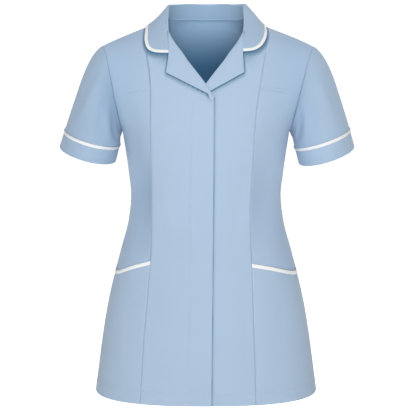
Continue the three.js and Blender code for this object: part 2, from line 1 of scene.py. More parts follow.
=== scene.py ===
import math
import bpy
import numpy as np
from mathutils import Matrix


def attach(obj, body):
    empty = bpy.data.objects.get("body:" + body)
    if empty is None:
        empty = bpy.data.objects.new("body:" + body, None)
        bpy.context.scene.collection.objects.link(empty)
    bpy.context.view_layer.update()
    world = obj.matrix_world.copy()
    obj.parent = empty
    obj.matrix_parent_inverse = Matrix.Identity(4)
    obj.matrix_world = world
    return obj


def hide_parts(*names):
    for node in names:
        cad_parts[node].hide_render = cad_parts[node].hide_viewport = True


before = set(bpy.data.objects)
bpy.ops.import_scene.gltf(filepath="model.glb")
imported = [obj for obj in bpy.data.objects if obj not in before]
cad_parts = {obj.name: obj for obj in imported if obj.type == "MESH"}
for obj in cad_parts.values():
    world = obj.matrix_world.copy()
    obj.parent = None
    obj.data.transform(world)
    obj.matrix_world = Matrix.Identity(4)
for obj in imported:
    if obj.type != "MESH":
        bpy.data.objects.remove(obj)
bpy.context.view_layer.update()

# A short-sleeved tunic, worn hollow. Sizes are millimetres until a mesh is made.
# The front faces -Y, the wearer's right is at -X, and the side-neck points are level with the origin.
body = {
    "cloth": 1.0, "hemCloth": 1.9, "hemUp": -720, "armpitUp": -213, "armpitHalf": 160,
    "neckHalf": 72.7, "neckBack": 66, "square": 2.2,
    "tipHalf": {"right": 195, "left": 203}, "tipUp": {"right": -51.5, "left": -52.8},
    "slope": {"right": 0.4, "left": 0.375},
    "centreRise": 100, "centreReach": 6, "edgeRise": 24, "edgeReach": 16, "turnPower": 2.6,
    "seamGap": 0.15, "sewnApart": 0.1, "edgeBulge": 0.42,
}
# Lengths over which the points of a panel are spread, and how far apart they lie.
spread = {"low": 507, "high": 210, "centre": 118, "side": 120, "back": 150, "pocket": 250, "step": 3.4,
          # closer rows and columns: where, half width, step
          "dartRows": (83, 7, 0.9), "neckRows": (208, 4, 0.8), "placketColumns": (43, 4, 0.7)}
levels = {
    "up": [-720, -614, -543, -485, -438, -392, -340, -299, -253, -213],
    "half": [215.2, 201, 188.8, 175, 162.6, 150.2, 144.2, 148, 154, 160],
    "front": [144, 138, 133, 126, 119, 113, 113, 118, 123, 125],
    "back": [142, 139, 136, 130, 119, 106, 97, 99, 105, 108],
    "square": [2.5, 2.44, 2.4, 2.36, 2.32, 2.28, 2.24, 2.22, 2.2, 2.2],
}
chest = {
    "front": {"lowDepth": 125, "highDepth": 85, "lowEdge": 62, "highEdge": 66, "neckUp": 0},
    "back": {"lowDepth": 108, "highDepth": 84, "lowEdge": 58, "highEdge": 60, "neckUp": 40},
}
# Seam between a centre front and a side front, and the line on which a lapel folds back.
seamLine = {
    "right": {"up": [-720, -615, -543, -479, -420, -296, -196, -116, -63, -18],
              "across": [126, 119.4, 113.3, 108, 103.7, 102.5, 104.5, 104, 111, 118]},
    "left": {"up": [-720, -626, -554, -455, -411, -334, -236, -171, -118, -73, -18],
             "across": [95, 92.6, 90.2, 87, 84.7, 84.6, 90, 94, 101.5, 110, 118]},
}
opening = {
    "breakUp": -138, "gorgeUp": -23,
    "edge": {"up": [-720, -331, -138], "across": [-10, -13.6, -14.5]},
    "roll": {"up": [-138, -114, -70, -57, -43, -31, -23, -11, 0],
             "across": [-14.5, 0.5, 36, 45.5, 57, 65, 69.5, 71.8, 72.7]},
    "underlap": {"deep": 4.2, "plain": 2.2, "fullTo": 18, "goneAt": 62, "deepUp": -150, "plainUp": -200},
}
# Soft folds: where the middle is, its lean from upright in degrees, half length, half width, depth.
folds = {
    "front": [
        (-137, -262, -4, 62, 11, -5), (-119, -250, 2, 55, 9, 2), (128, -215, 52, 34, 10, -3),
        (60, -352, 8, 60, 15, -2.5), (-70, -610, -3, 95, 22, 3), (40, -620, 3, 90, 24, 3),
        (-112, -330, 8, 46, 9, -2.2), (118, -322, -7, 58, 10, -2.6), (-58, -358, -6, 46, 12, -1.8),
        (-148, -560, -7, 80, 15, -2.6), (146, -575, 6, 90, 16, -2.4), (88, -640, 4, 70, 16, -1.8),
        (-20, -662, 1, 50, 18, -1.5), (134, -168, 38, 30, 8, -1.8), (-140, -176, -34, 30, 8, -2.2),
        (-74, -196, 62, 34, 10, 1.4), (70, -210, -60, 34, 11, 1.2), (150, -420, -24, 40, 9, -1.6),
        (-146, -412, 22, 42, 9, -1.8),
    ],
    "back": [
        (-60, -335, 4, 80, 14, -4), (62, -340, -5, 76, 15, -4), (0, -590, 1, 110, 34, 4),
        (118, -600, 4, 100, 24, 3), (-112, -605, -3, 96, 26, 3), (-20, -352, 12, 44, 10, -2.2),
        (24, -318, -16, 48, 10, -2.4), (-118, -342, 10, 50, 11, -2.8), (116, -330, -9, 54, 11, -2.6),
        (-62, -650, -3, 66, 16, -2.4), (58, -640, 4, 74, 17, -2.2), (150, -650, 5, 60, 14, -2.2),
        (-150, -640, -6, 64, 14, -2), (-132, -205, -38, 40, 10, -3), (130, -210, 41, 40, 10, -2.8),
        (-84, -158, -20, 52, 13, 1.8), (88, -150, 22, 52, 13, 1.6), (4, -262, 84, 60, 10, -1.8),
    ],
}
signOf = {"right": -1.0, "left": 1.0}
sides = ("right", "left")


def mix(a, b, t):
    return a + (b - a) * t


def ease(start, end, value):
    t = np.clip((value - start) / (end - start), 0, 1)
    return t * t * (3 - 2 * t)


def hump(away, wide):
    # 1 in the middle, falling off smoothly over a width
    return np.exp(-(away / wide) ** 2)


def bend(a, b, c, d, t):
    # cubic Bezier of four numbers
    r = 1 - t
    return a * r ** 3 + 3 * b * r * r * t + 3 * c * r * t * t + d * t ** 3


def curve(keys, values):
    # a cubic through the rows, each row's slope being that of the chord between its neighbours
    keys, values = np.array(keys, float), np.array(values, float)
    row = np.arange(len(keys))
    low, high = np.maximum(row - 1, 0), np.minimum(row + 1, len(keys) - 1)
    slope = (values[high] - values[low]) / (keys[high] - keys[low])

    def at(value):
        value = np.clip(value, keys[0], keys[-1])
        i = np.clip(np.searchsorted(keys, value, side="right") - 1, 0, len(keys) - 2)
        span = keys[i + 1] - keys[i]
        leave, arrive = values[i] + slope[i] * span / 3, values[i + 1] - slope[i + 1] * span / 3
        return bend(values[i], leave, arrive, values[i + 1], (value - keys[i]) / span)
    return at


def curves(table, key="at"):
    # a curve for each of a table's other columns against its key column
    return {name: curve(table[key], values) for name, values in table.items() if name != key}


def pitched(start, end, step, fine=()):
    # numbers from start to end about one step apart, closer about each (middle, half width, step)
    value = np.linspace(start, end, 4000)
    density = np.full(len(value), 1 / step)
    for middle, half, small in fine:
        density += (1 / small - 1 / step) * np.exp(-((value - middle) / half) ** 4)
    total = np.concatenate([[0], np.cumsum((density[1:] + density[:-1]) / 2 * np.diff(value))])
    return np.interp(np.linspace(0, total[-1], int(round(total[-1])) + 1), total, value)


level = curves(levels, "up")
seamAcross = {side: curve(seamLine[side]["up"], seamLine[side]["across"]) for side in sides}
edgeAcross = curve(opening["edge"]["up"], opening["edge"]["across"])
rollAcross = curve(opening["roll"]["up"], opening["roll"]["across"])


def openAcross(up):
    return np.where(up < opening["breakUp"], edgeAcross(up), rollAcross(up))


def bySide(table, x):
    return np.where(np.asarray(x) < 0, table["right"], table["left"])


def foldDepth(face, x, up):
    # each fold is a Gaussian ridge or trough along a slanted line
    depth = np.zeros(np.broadcast(x, up).shape)
    for across, middle, lean, half, wide, deep in folds[face]:
        turn = math.radians(lean)
        dx, dz = x - across, up - middle
        aside = dx * math.cos(turn) - dz * math.sin(turn)
        along = dx * math.sin(turn) + dz * math.cos(turn)
        depth = depth + deep * hump(aside, wide) * hump(along, half)
    return depth


def shoulderUp(across, x):
    # level at the neck, a straight slope beyond it, and a last drop by the sixth power towards the tip
    beyond = np.maximum(across - body["neckHalf"], 0)
    span = bySide(body["tipHalf"], x) - body["neckHalf"]
    slope = bySide(body["slope"], x)
    lastDrop = -bySide(body["tipUp"], x) - slope * span
    return -(slope * beyond + lastDrop * (beyond / span) ** 6)


def halfAt(x, height):
    # half width at a height: 0 hem, 1 armpit level, 2 shoulder
    low = level["half"](mix(body["hemUp"], body["armpitUp"], np.clip(height, 0, 1)))
    tip, rise = bySide(body["tipHalf"], x), np.clip(height - 1, 0, 1)
    high = bend(body["armpitHalf"], body["armpitHalf"] + 6, tip - 12, tip, rise)
    return np.where(height <= 1, low, high)


def bodyPoint(face, share, height):
    # below the armpit each level is a superellipse; above it each column is a cubic up to the shoulder
    share, height = np.broadcast_arrays(np.asarray(share, float), np.asarray(height, float))
    part, rise = np.clip(np.abs(share), 0, 1), np.clip(height - 1, 0, 1)
    shape = chest[face]
    upLow = mix(body["hemUp"], body["armpitUp"], np.clip(height, 0, 1))
    square = level["square"](upLow)
    depthLow = level[face](upLow) * np.maximum(1 - part ** square, 0) ** (1 / square)
    topAcross = part * bySide(body["tipHalf"], share)
    neckRise = shape["neckUp"] * np.maximum(1 - (topAcross / body["neckHalf"]) ** 2, 0) ** 1.3
    topUp = shoulderUp(topAcross, share) + neckRise
    toEdge, turn = part ** 4, 1 - part ** body["turnPower"]
    start = shape["lowDepth"] * np.maximum(1 - part ** body["square"], 0) ** (1 / body["square"])
    depthHigh = bend(start, mix(shape["lowEdge"], shape["lowDepth"], turn),
                     mix(shape["highEdge"], shape["highDepth"], turn), 0, rise)
    leaving = body["armpitUp"] + mix(body["centreRise"], body["edgeRise"], toEdge)
    reach = mix(body["centreReach"], body["edgeReach"], toEdge)
    upHigh = bend(body["armpitUp"], leaving, topUp - reach, topUp, rise)
    low = height <= 1
    depth, up = np.where(low, depthLow, depthHigh), np.where(low, upLow, upHigh)
    x = np.sign(share) * part * halfAt(share, height)
    depth = depth + body["seamGap"] + (1 - part ** 6) * foldDepth(face, x, up)
    return np.stack([x, depth * (-1 if face == "front" else 1), up], -1)


def bodyAcross(face, x, height):
    # the same surface by distance from the middle instead of by share of the half width
    return bodyPoint(face, x / halfAt(x, height), height)


def solve(test, low, high, shape):
    # bisection on whole arrays: test says where the answer is higher
    low, high = np.full(shape, float(low)), np.full(shape, float(high))
    for _ in range(24):
        middle = (low + high) / 2
        more = test(middle)
        low, high = np.where(more, middle, low), np.where(more, high, middle)
    return (low + high) / 2


def heightAt(face, x, up):
    x, up = np.broadcast_arrays(np.asarray(x, float), np.asarray(up, float))
    return solve(lambda h: bodyAcross(face, x, h)[..., 2] < up, 0, 2, x.shape)


def neckHeight(share):
    # where the back meets the half ellipse of the back of the neck
    def more(h):
        point = bodyPoint("back", share, h)
        inside = np.maximum(1 - (point[..., 0] / body["neckHalf"]) ** 2, 0)
        return point[..., 1] > body["neckBack"] * np.sqrt(inside)
    return solve(more, 1.2, 2, np.shape(share))


def crossing(line, sign, height):
    # how far across a line lies at a height: its level is put back in until it settles
    across = line(np.full(np.shape(height), float(body["armpitUp"])))
    for _ in range(14):
        across = line(bodyAcross("front", sign * across, height)[..., 2])
    return across


def unit(v):
    return v / np.maximum(np.linalg.norm(v, axis=-1, keepdims=True), 1e-9)


def bodyNormal(face, x, height):
    # the cross product of short differences across and up
    above, below = np.minimum(height + 0.004, 2), np.maximum(height - 0.004, 0)
    alongX = bodyAcross(face, x + 0.5, height) - bodyAcross(face, x - 0.5, height)
    alongUp = bodyAcross(face, x, above) - bodyAcross(face, x, below)
    return unit(np.cross(alongX, alongUp)) * (1 if face == "front" else -1)


def offBody(face, x, height, lift):
    return bodyAcross(face, x, height) + bodyNormal(face, x, height) * lift[..., None]


# Sewing: grooves where panels meet, lines of topstitching, hems, darts. Each is a groove in the cloth.
sewing = {
    "seamDeep": 0.9, "seamWide": 1.2, "allowance": 9.5, "allowanceHigh": 0.35,
    "hemStitch": 24, "hemDeep": 0.28, "hemWide": 1.5, "hemProud": 0.2,
    "waistDeep": {"right": 3.6, "left": 2.2}, "waistUp": -330, "waistTall": 95, "waistWide": 38,
    "placketDeep": 0.45, "placketWide": 1.3, "placketProud": 0.35, "placketStitchTo": -141,
    # size, pitch, sway, pitch of the sway, and how far from the stitching it dies away
    "pucker": {"hem": (0.2, 3.7, 2.2, 29, 9), "seam": (0.16, 4.6, 1.9, 37, 9),
               "placket": (0.14, 5.1, 1.7, 43, 8)},
    # the dart's groove (depth, width), the swell above it (height, how far up, width), and its tip (height,
    # half width, half height)
    "dartSpan": (100, 104, 138, 157), "dartGroove": (0.7, 1.3), "dartSwell": (0.9, 3.5, 2.6),
    "dartTip": (1.1, 12, 14),
    "dart": {"right": {"across": [104, 131, 156], "up": [-127, -130, -135.5]},
             "left": {"across": [103, 139, 156], "up": [-124.5, -130, -138]}},
}
placketAcross = curve([-720, -500, -407, -141], [-33, -32.4, -30.3, -27])  # signed x of the topstitch
dartUp = {side: curve(sewing["dart"][side]["across"], sewing["dart"][side]["up"]) for side in sides}


def pucker(name, along, away):
    size, pitch, sway, swayPitch, wide = sewing["pucker"][name]
    return size * np.sin(along / pitch + sway * np.sin(along / swayPitch)) * hump(away, wide)


def inDart(across):
    start, full, fade, end = sewing["dartSpan"]
    return ease(start, full, across) * (1 - ease(fade, end, across))


def hemRelief(x, up):
    # a groove on the row of stitches, small puckers about it, and the doubled cloth below
    stitch = up - (body["hemUp"] + sewing["hemStitch"])
    groove = -sewing["hemDeep"] * hump(stitch, sewing["hemWide"])
    return groove + pucker("hem", x, stitch + 5) + sewing["hemProud"] * (1 - ease(-4, -1, stitch))


def frontRelief(side, x, up):
    # how far the sewn cloth stands off the plain surface
    across = x * signOf[side]
    away = across - seamAcross[side](up)
    seam = -sewing["seamDeep"] * hump(away, sewing["seamWide"])
    pressed = ease(0.6, 2.4, -away) * (1 - ease(sewing["allowance"] - 1, sewing["allowance"] + 1, -away))
    outside = np.maximum(away, 0)
    waist = sewing["waistDeep"][side] * hump(up - sewing["waistUp"], sewing["waistTall"])
    turnedIn = -waist * (1 - np.exp(-outside / 9)) * hump(outside, sewing["waistWide"])
    relief = seam + sewing["allowanceHigh"] * pressed + pucker("seam", up, away) + turnedIn + hemRelief(x, up)
    if side == "right":
        fromStitch = x - placketAcross(up)
        below = 1 - ease(sewing["placketStitchTo"] - 2, sewing["placketStitchTo"] + 2, up)
        groove = -sewing["placketDeep"] * hump(fromStitch, sewing["placketWide"])
        proud = sewing["placketProud"] * ease(1, 4, fromStitch)
        relief = relief + (groove + proud + pucker("placket", up, fromStitch)) * below
    toDart = up - dartUp[side](across)
    (deep, narrow), (high, above, wide) = sewing["dartGroove"], sewing["dartSwell"]
    dart = (-deep * hump(toDart, narrow) + high * hump(toDart - above, wide)) * inDart(across)
    proud, half, tall = sewing["dartTip"]
    tip = proud * hump(across - sewing["dartSpan"][-1], half) * hump(toDart, tall)
    return relief + dart + tip


def underlapDepth(x, up):
    lap = opening["underlap"]
    depth = mix(lap["plain"], lap["deep"], ease(lap["plainUp"], lap["deepUp"], up))
    return depth * (1 - ease(lap["fullTo"], lap["goneAt"], x))


def frontFace(side, x, height):
    up = bodyAcross("front", x, height)[..., 2]
    point = offBody("front", x, height, frontRelief(side, x, up))
    if side == "left":
        point[..., 1] += underlapDepth(x, up)
    return point


def read(group, field, width=1, kind=float):
    values = np.zeros(len(group) * width, kind)
    group.foreach_get(field, values)
    return values.reshape(-1, width)


def addMesh(name, points, faces, grain=None, tint=None):
    mesh = bpy.data.meshes.new(name)
    mesh.from_pydata((points / 1000).tolist(), [], faces if isinstance(faces, list) else faces.tolist())
    mesh.polygons.foreach_set("use_smooth", np.ones(len(mesh.polygons), bool))
    if grain is not None:
        layer = mesh.uv_layers.new(name="grain")
        corner = read(mesh.loops, "vertex_index", kind=np.int32)[:, 0]
        layer.data.foreach_set("uv", (grain[corner] / 1000).astype(np.float32).ravel())
    tint = np.ones((len(points), 3)) if tint is None else tint
    layer = mesh.attributes.new("tint", "FLOAT_COLOR", "POINT")
    layer.data.foreach_set("color", np.concatenate([tint, tint[:, :1] * 0 + 1], 1).astype(np.float32).ravel())
    mesh.update()
    piece = bpy.data.objects.new(name, mesh)
    bpy.context.scene.collection.objects.link(piece)
    return piece


def gridNormals(points, outward, ring):
    # the cross product of the differences along columns and rows
    if ring:  # columns close on themselves
        alongU = np.roll(points, -1, 1) - np.roll(points, 1, 1)
    else:
        alongU = np.gradient(points, axis=1)
    return unit(np.cross(alongU, np.gradient(points, axis=0))) * outward


def gridOf(rows, columns, ring):
    # point numbers row by row, coming back to the first column on a ring
    index = np.arange(rows * columns).reshape(rows, columns)
    return np.concatenate([index, index[:, :1]], 1) if ring else index


def quads(index):
    return np.stack([q.ravel() for q in (index[:-1, :-1], index[:-1, 1:], index[1:, 1:], index[1:, :-1])], 1)


def lengthAlong(line):
    return np.concatenate([[0], np.cumsum(np.linalg.norm(np.diff(line, axis=0), axis=1))])


# Painted shade: colour multipliers where little light comes; the inner face is painted lighter at the neck,
# darker below.
shadow = {
    "deep": np.array([0.12, 0.3, 0.42]), "insideShadeFrom": -8, "insideShadeTo": -112, "insideShadePower": 0.6,
    "insideLitTop": np.array([1.3, 1.5, 1.56]), "insideShadedLow": np.array([0.17, 0.38, 0.54]),
}
# Pieces by the node each stands for; the points of a sheet's outer face come first in its mesh.
pieces, outerPoints, threads = {}, {}, []


# painted shade: the colour is multiplied towards the deep colour by a share
def paintedShade(share):
    return 1 - np.asarray(share)[..., None] * (1 - shadow["deep"])


def addCloth(node, outer, thick, outward, ring=False, tint=1.0):
    # a grid of points is the outer face; the inner one lies a thickness behind, and a soft edge joins them
    rows, columns = outer.shape[:2]
    count = rows * columns
    thick = np.broadcast_to(np.asarray(thick, float), (rows, columns))
    inner = outer - gridNormals(outer, outward, ring) * thick[..., None]
    index = gridOf(rows, columns, ring)
    faces = [quads(index), quads(index)[:, [0, 3, 2, 1]] + count]
    stepU = np.linalg.norm(np.diff(outer, axis=1, prepend=outer[:, :1]), axis=2)
    stepV = np.linalg.norm(np.diff(outer, axis=0, prepend=outer[:1]), axis=2)
    flat = np.stack([np.cumsum(stepU, 1), np.cumsum(stepV, 0)], -1)
    out = np.zeros_like(outer)
    out[0] += unit(outer[0] - outer[1])
    out[-1] += unit(outer[-1] - outer[-2])
    if ring:
        loops = [index[0], index[-1, ::-1]]
    else:
        out[:, 0] += unit(outer[:, 0] - outer[:, 1])
        out[:, -1] += unit(outer[:, -1] - outer[:, -2])
        loops = [np.concatenate([index[0], index[1:, -1], index[-1, -2::-1], index[-2::-1, 0]])]
    points, grain, total = [outer.reshape(-1, 3), inner.reshape(-1, 3)], [flat.reshape(-1, 2)] * 2, 2 * count
    for line in loops:
        edge = line[:-1]
        away = unit(out.reshape(-1, 3)[edge]) * (thick.ravel()[edge] * body["edgeBulge"])[:, None]
        points.append((points[0][edge] + points[1][edge]) / 2 + away)
        grain.append(grain[0][edge])
        soft = np.append(total + np.arange(len(edge)), total)
        total += len(edge)
        faces.append(np.stack([line[:-1], soft[:-1], soft[1:], line[1:]], 1))
        faces.append(np.stack([soft[:-1], line[:-1] + count, line[1:] + count, soft[1:]], 1))
    faces, points = np.concatenate(faces), np.concatenate(points)
    tints = np.ones((len(points), 3))
    tints[:count] = np.broadcast_to(tint, outer.shape).reshape(-1, 3)
    # the inner face is painted lighter near the neck (painted light) and darker further down (painted shade)
    down = ease(shadow["insideShadeFrom"], shadow["insideShadeTo"], points[count:2 * count, 2])[:, None]
    tints[count:2 * count] = mix(shadow["insideLitTop"], shadow["insideShadedLow"], down ** shadow["insideShadePower"])
    outerPoints[node] = count
    faces = faces if outward > 0 else faces[:, ::-1]
    pieces[node] = addMesh("cloth_" + node, points, faces, np.concatenate(grain), tints)


def addStrip(node, inner, outer, normal, thick, ring=False, tint=1.0):
    # a flat tape rounded at its edges: a squashed ring of points carried along the two edge lines
    around = 14
    turn = np.linspace(0, 2 * np.pi, around, endpoint=False)
    wide = np.sign(np.cos(turn)) * np.abs(np.cos(turn)) ** 0.7
    high = np.sign(np.sin(turn)) * np.abs(np.sin(turn)) ** 0.8
    middle, reach = (inner + outer) / 2, (outer - inner) / 2
    points = middle[:, None] + reach[:, None] * wide[:, None] + normal[:, None] * (high * thick / 2)[:, None]
    rows = len(points)
    index = gridOf(rows, around, True)
    if ring:
        index = np.concatenate([index, index[:1]], 0)
    faces, reached = quads(index), np.linalg.norm(reach, axis=1)[:, None]
    grain = np.stack(np.broadcast_arrays(wide[None] * reached, lengthAlong(middle)[:, None]), -1)
    points, grain = points.reshape(-1, 3), grain.reshape(-1, 2)
    if not ring:  # a point closes each end
        first = len(points)
        tips = middle[[0, -1]] + unit(middle[[0, -1]] - middle[[1, -2]]) * 0.5
        points, grain = np.concatenate([points, tips]), np.concatenate([grain, grain[[0, -1]]])
        caps = [np.stack([index[0, 1:], index[0, :-1], np.full(around, first)], 1),
                np.stack([index[-1, :-1], index[-1, 1:], np.full(around, first + 1)], 1)]
        faces = faces.tolist() + np.concatenate(caps).tolist()
    tints = np.ones_like(points) * tint
    if not np.isscalar(tint):  # painted shade along both edges of a tape sewn down flat
        tints[:rows * around] *= paintedShade(0.55 * np.tile(np.abs(wide) ** 8, rows))
    name = "binding_" + node.replace("_binding", "") if "binding" in node else "cloth_" + node
    pieces[node] = addMesh(name, points, faces, grain, tints)
    turnOutward(pieces[node].data)


def turnOutward(mesh):
    # a closed mesh whose volume comes out negative is turned round
    mesh.calc_loop_triangles()
    corners = read(mesh.loop_triangles, "vertices", 3, np.int32)
    a, b, c = read(mesh.vertices, "co", 3)[corners].transpose(1, 0, 2)
    if np.einsum("ij,ij->i", a, np.cross(b, c)).sum() < 0:
        mesh.flip_normals()


def columnsFor(width, step, between=()):
    # shares of a width, close together at both edges
    return pitched(0, width, step, [(0, 4, 0.45), *between, (width, 4, 0.45)]) / width


def columnsToSide():
    even = columnsFor(spread["side"], spread["step"])[None]
    return np.sin(even * np.pi / 2) * 0.5 + even * 0.5


# Shares of the height below the armpit, and of that above it, where rows of points lie.
hemRows = [(0, 5, 0.8), (sewing["hemStitch"], 4, 0.7)]
lowRows = pitched(0, spread["low"], spread["step"], hemRows)[:, None] / spread["low"]
closeRows = {"front": (3.2, [spread["dartRows"], spread["neckRows"]]),
             "back": (spread["step"], [spread["neckRows"]])}
highRows = {face: pitched(0, spread["high"], *rows)[1:, None] / spread["high"]
            for face, rows in closeRows.items()}


def clothThickness(up):
    # a hem is turned up twice and sewn down, so it is thicker
    toHem = 1 - ease(sewing["hemStitch"] + 0.5, sewing["hemStitch"] + 2, up - body["hemUp"])
    return mix(body["cloth"], body["hemCloth"], toHem)


def addCentreFront(side):
    sign = signOf[side]
    # the right one has closer columns about the placket's stitching too
    share = columnsFor(spread["centre"], spread["step"], [spread["placketColumns"]] * (side == "right"))
    height = np.concatenate([lowRows, 1 + highRows["front"]])
    outer = crossing(seamAcross[side], sign, height) - body["sewnApart"]
    x = sign * mix(crossing(openAcross, sign, height), outer, share[None])
    points = frontFace(side, x, np.broadcast_to(height, x.shape))
    addCloth("front_" + side + "_centre", points, clothThickness(points[..., 2]), sign)


for side in sides:
    addCentreFront(side)
print("centre fronts made")

# The side front runs on behind the pocket's face; the face stands open a little at its mouth.
pockets = {
    "mouth": {"right": {"across": [100, 138, 178], "up": [-447, -462, -485]},
              "left": {"across": [80, 125, 178], "up": [-451, -462.8, -484]}},
    "bottomUp": -610, "behind": 1.9, "easeOver": 14, "gape": 1.1, "gapeOver": 34,
    "bindWide": 7.2, "bindThick": 1.9, "bindLift": -0.25, "bindTint": 1.06,
}
mouthUp = {side: curve(pockets["mouth"][side]["across"], pockets["mouth"][side]["up"]) for side in sides}


def heightOf(up):
    # share of the way from the hem to the armpit
    return (up - body["hemUp"]) / (body["armpitUp"] - body["hemUp"])


def spreadToSide(side, inner, u, height):
    # equal angles, whose sine is the share of the half width, from an inner line to the side seam
    half = halfAt(np.full(np.shape(height), signOf[side]), height)
    return signOf[side] * half * np.sin(mix(np.arcsin(np.clip(inner / half, 0, 1)), np.pi / 2, u))


def pocketAcross(side, u, up):
    return spreadToSide(side, seamAcross[side](up) + body["sewnApart"], u, heightOf(up))


def mouthAt(side, u):
    # the level of the pocket mouth, put back in until it settles
    up = np.full(np.shape(u), -460.0)
    for _ in range(10):
        up = mouthUp[side](np.abs(pocketAcross(side, u, up)))
    return up


def addSideFront(side):
    u, high = columnsToSide(), 1 + highRows["front"]
    x = spreadToSide(side, crossing(seamAcross[side], signOf[side], high) + body["sewnApart"], u, high)
    upper = frontFace(side, x, np.broadcast_to(high, x.shape))
    mouth = mouthAt(side, u)
    share = pitched(0, 1, 0.014, [(0.03, 0.05, 0.006)])[:, None]
    up = np.concatenate([mix(pockets["bottomUp"], mouth, np.linspace(0, 1, 44)[:-1, None]),
                         mix(mouth, body["armpitUp"], share)])
    behind = pockets["behind"] * (1 - ease(0, pockets["easeOver"], up - mouth))
    x = pocketAcross(side, u, up)
    relief = frontRelief(side, x, up) * (1 - behind / pockets["behind"]) - behind
    points = np.concatenate([offBody("front", x, heightOf(up), relief), upper])
    addCloth("front_" + side + "_side", points, body["cloth"], signOf[side])


def pocketFace(side, u, up):
    x = pocketAcross(side, u, up)
    point = bodyAcross("front", x, heightOf(up))
    gape = pockets["gape"] * np.sin(np.pi * np.clip(u, 0, 1)) * (1 + 0.5 * np.sin(5 * u))
    gape = gape * hump(mouthAt(side, u) - up, pockets["gapeOver"])
    normal = bodyNormal("front", x, heightOf(up))
    return point + normal * (frontRelief(side, x, up) + gape)[..., None], normal


def addPocket(side):
    u = columnsToSide()
    foot = mouthAt(side, u) - pockets["bindWide"] + 0.6
    share = pitched(0, spread["pocket"], spread["step"], hemRows)[:, None] / spread["pocket"]
    up = mix(body["hemUp"], foot, share)
    points, _ = pocketFace(side, np.broadcast_to(u, up.shape), up)
    addCloth("pocket_" + side, points, clothThickness(up), signOf[side])
    along = np.linspace(0, 1, 60)
    top, normal = pocketFace(side, along, mouthAt(side, along))
    low, _ = pocketFace(side, along, mouthAt(side, along) - pockets["bindWide"])
    lift = normal * pockets["bindLift"]
    addStrip("pocket_binding_" + side, low + lift, top + lift, normal, pockets["bindThick"],
             tint=pockets["bindTint"])


for side in sides:
    addSideFront(side)
    addPocket(side)
print("side fronts and pockets made")


def backTop(share):
    inNeck = np.abs(share) * bySide(body["tipHalf"], share) <= body["neckHalf"]
    return np.where(inNeck, neckHeight(share), 2.0)


def addBack():
    half = {}
    for side in sides:
        neckShare = body["neckHalf"] / body["tipHalf"][side]
        nape = neckShare * np.sin(np.linspace(0, np.pi / 2, 26))
        out = np.sin(mix(np.arcsin(neckShare), np.pi / 2, columnsFor(spread["back"], 3.6)[1:]))
        half[side] = signOf[side] * np.concatenate([nape, out])
    share = np.concatenate([half["right"][:0:-1], half["left"]])[None]
    high = 1 + (backTop(share) - 1) * highRows["back"]
    height = np.concatenate([np.broadcast_to(lowRows, (len(lowRows), share.shape[1])), high])
    share = np.broadcast_to(share, height.shape)
    points = bodyPoint("back", share, height)
    x, up = points[..., 0], points[..., 2]
    points = points + bodyNormal("back", x * 0.9999, height) * hemRelief(x, up)[..., None]
    addCloth("back", points, clothThickness(up), -1)


addBack()
print("back made")

# Sleeves: each goes from the armhole's ring to the ring of its cuff's upper edge and on to that of its hem.
sleeves = {
    # rings: middle across, middle up, half width, half depth, tilt in degrees, dip of the front
    "end": {"right": (217.5, -226.4, 53.3, 62, 15.6, 4.8), "left": (222.3, -227.3, 54.3, 62, 18.9, 2.5)},
    "hem": {"right": (227, -259.2, 54.6, 64, 14.8, 6), "left": (231.9, -262, 54.6, 64, 17.3, 4.5)},
    "leave": {"at": [0, 0.5, 0.85, 1], "out": [32, 24, 8, 2], "down": [14, 12, 10, 11],
              "ahead": [0, 5, 2, 0]},
    "arrive": 0.4, "columns": 132, "bindWide": 5.9, "bindThick": 1.5,
    "cuffTall": {"right": 28.2, "left": 30.2}, "cuffProud": 1.4, "cuffInside": 2.1, "cuffCloth": 0.8,
    # painted shade all over; then more beside the body far down, near the armhole, and in the seam's line
    "shade": {"right": 0.13, "left": 0.06},
    "shadeIn": {"right": (0.24, 0.02, 0.3), "left": (0.04, 0.18, 0.3)},
    # turns on the side by the body, where painted shade lies, and their half width; size, waves and sway of
    # the ease in the crown
    "besideAt": (0.31, 0.69), "besideWide": 0.12, "ease": (0.35, 150, 3, 17),
    # folds on the tube: turn, place down it, half turn, half length, lean, depth; each side has its share
    "foldShare": {"right": 1, "left": 0.82},
    "folds": [
        (0.40, 0.55, 0.034, 0.40, 0.10, -2.6), (0.34, 0.62, 0.026, 0.34, 0.07, 2.2),
        (0.45, 0.30, 0.030, 0.20, 0.12, -2.0), (0.27, 0.60, 0.032, 0.42, 0.03, -2.2),
        (0.16, 0.45, 0.035, 0.42, -0.03, 1.8), (0.10, 0.70, 0.030, 0.34, -0.05, -1.7),
        (0.60, 0.50, 0.034, 0.36, -0.10, -2.6), (0.67, 0.58, 0.028, 0.32, -0.06, 2.0),
        (0.75, 0.55, 0.034, 0.40, -0.03, -2.6), (0.86, 0.60, 0.034, 0.40, 0.04, 1.6),
        (0.92, 0.66, 0.028, 0.30, 0.05, -1.6), (0.54, 0.34, 0.028, 0.22, -0.10, -2.6),
    ],
}
leave = curves(sleeves["leave"])


def ringPoint(side, ring, turn):
    # a tilted ellipse whose front dips
    across, up, half, depth, tilt, dip = ring
    angle, tilt = 2 * np.pi * turn, math.radians(tilt)
    reach, ahead = half * np.cos(angle), np.sin(angle)
    return np.stack([signOf[side] * (across + reach * math.cos(tilt)), -depth * ahead,
                     up + reach * math.sin(tilt) - dip * ahead], -1)


def armholePoint(side, turn):
    # the armhole: down the front's edge for half a turn, and up the back's
    front = turn < 0.5
    height = 1 + np.abs(1 - 2 * turn)
    share = np.full(np.shape(turn), signOf[side])
    point = np.where(front[..., None], bodyPoint("front", share, height), bodyPoint("back", share, height))
    point[..., 1] -= np.sign(point[..., 1]) * body["seamGap"]
    return point


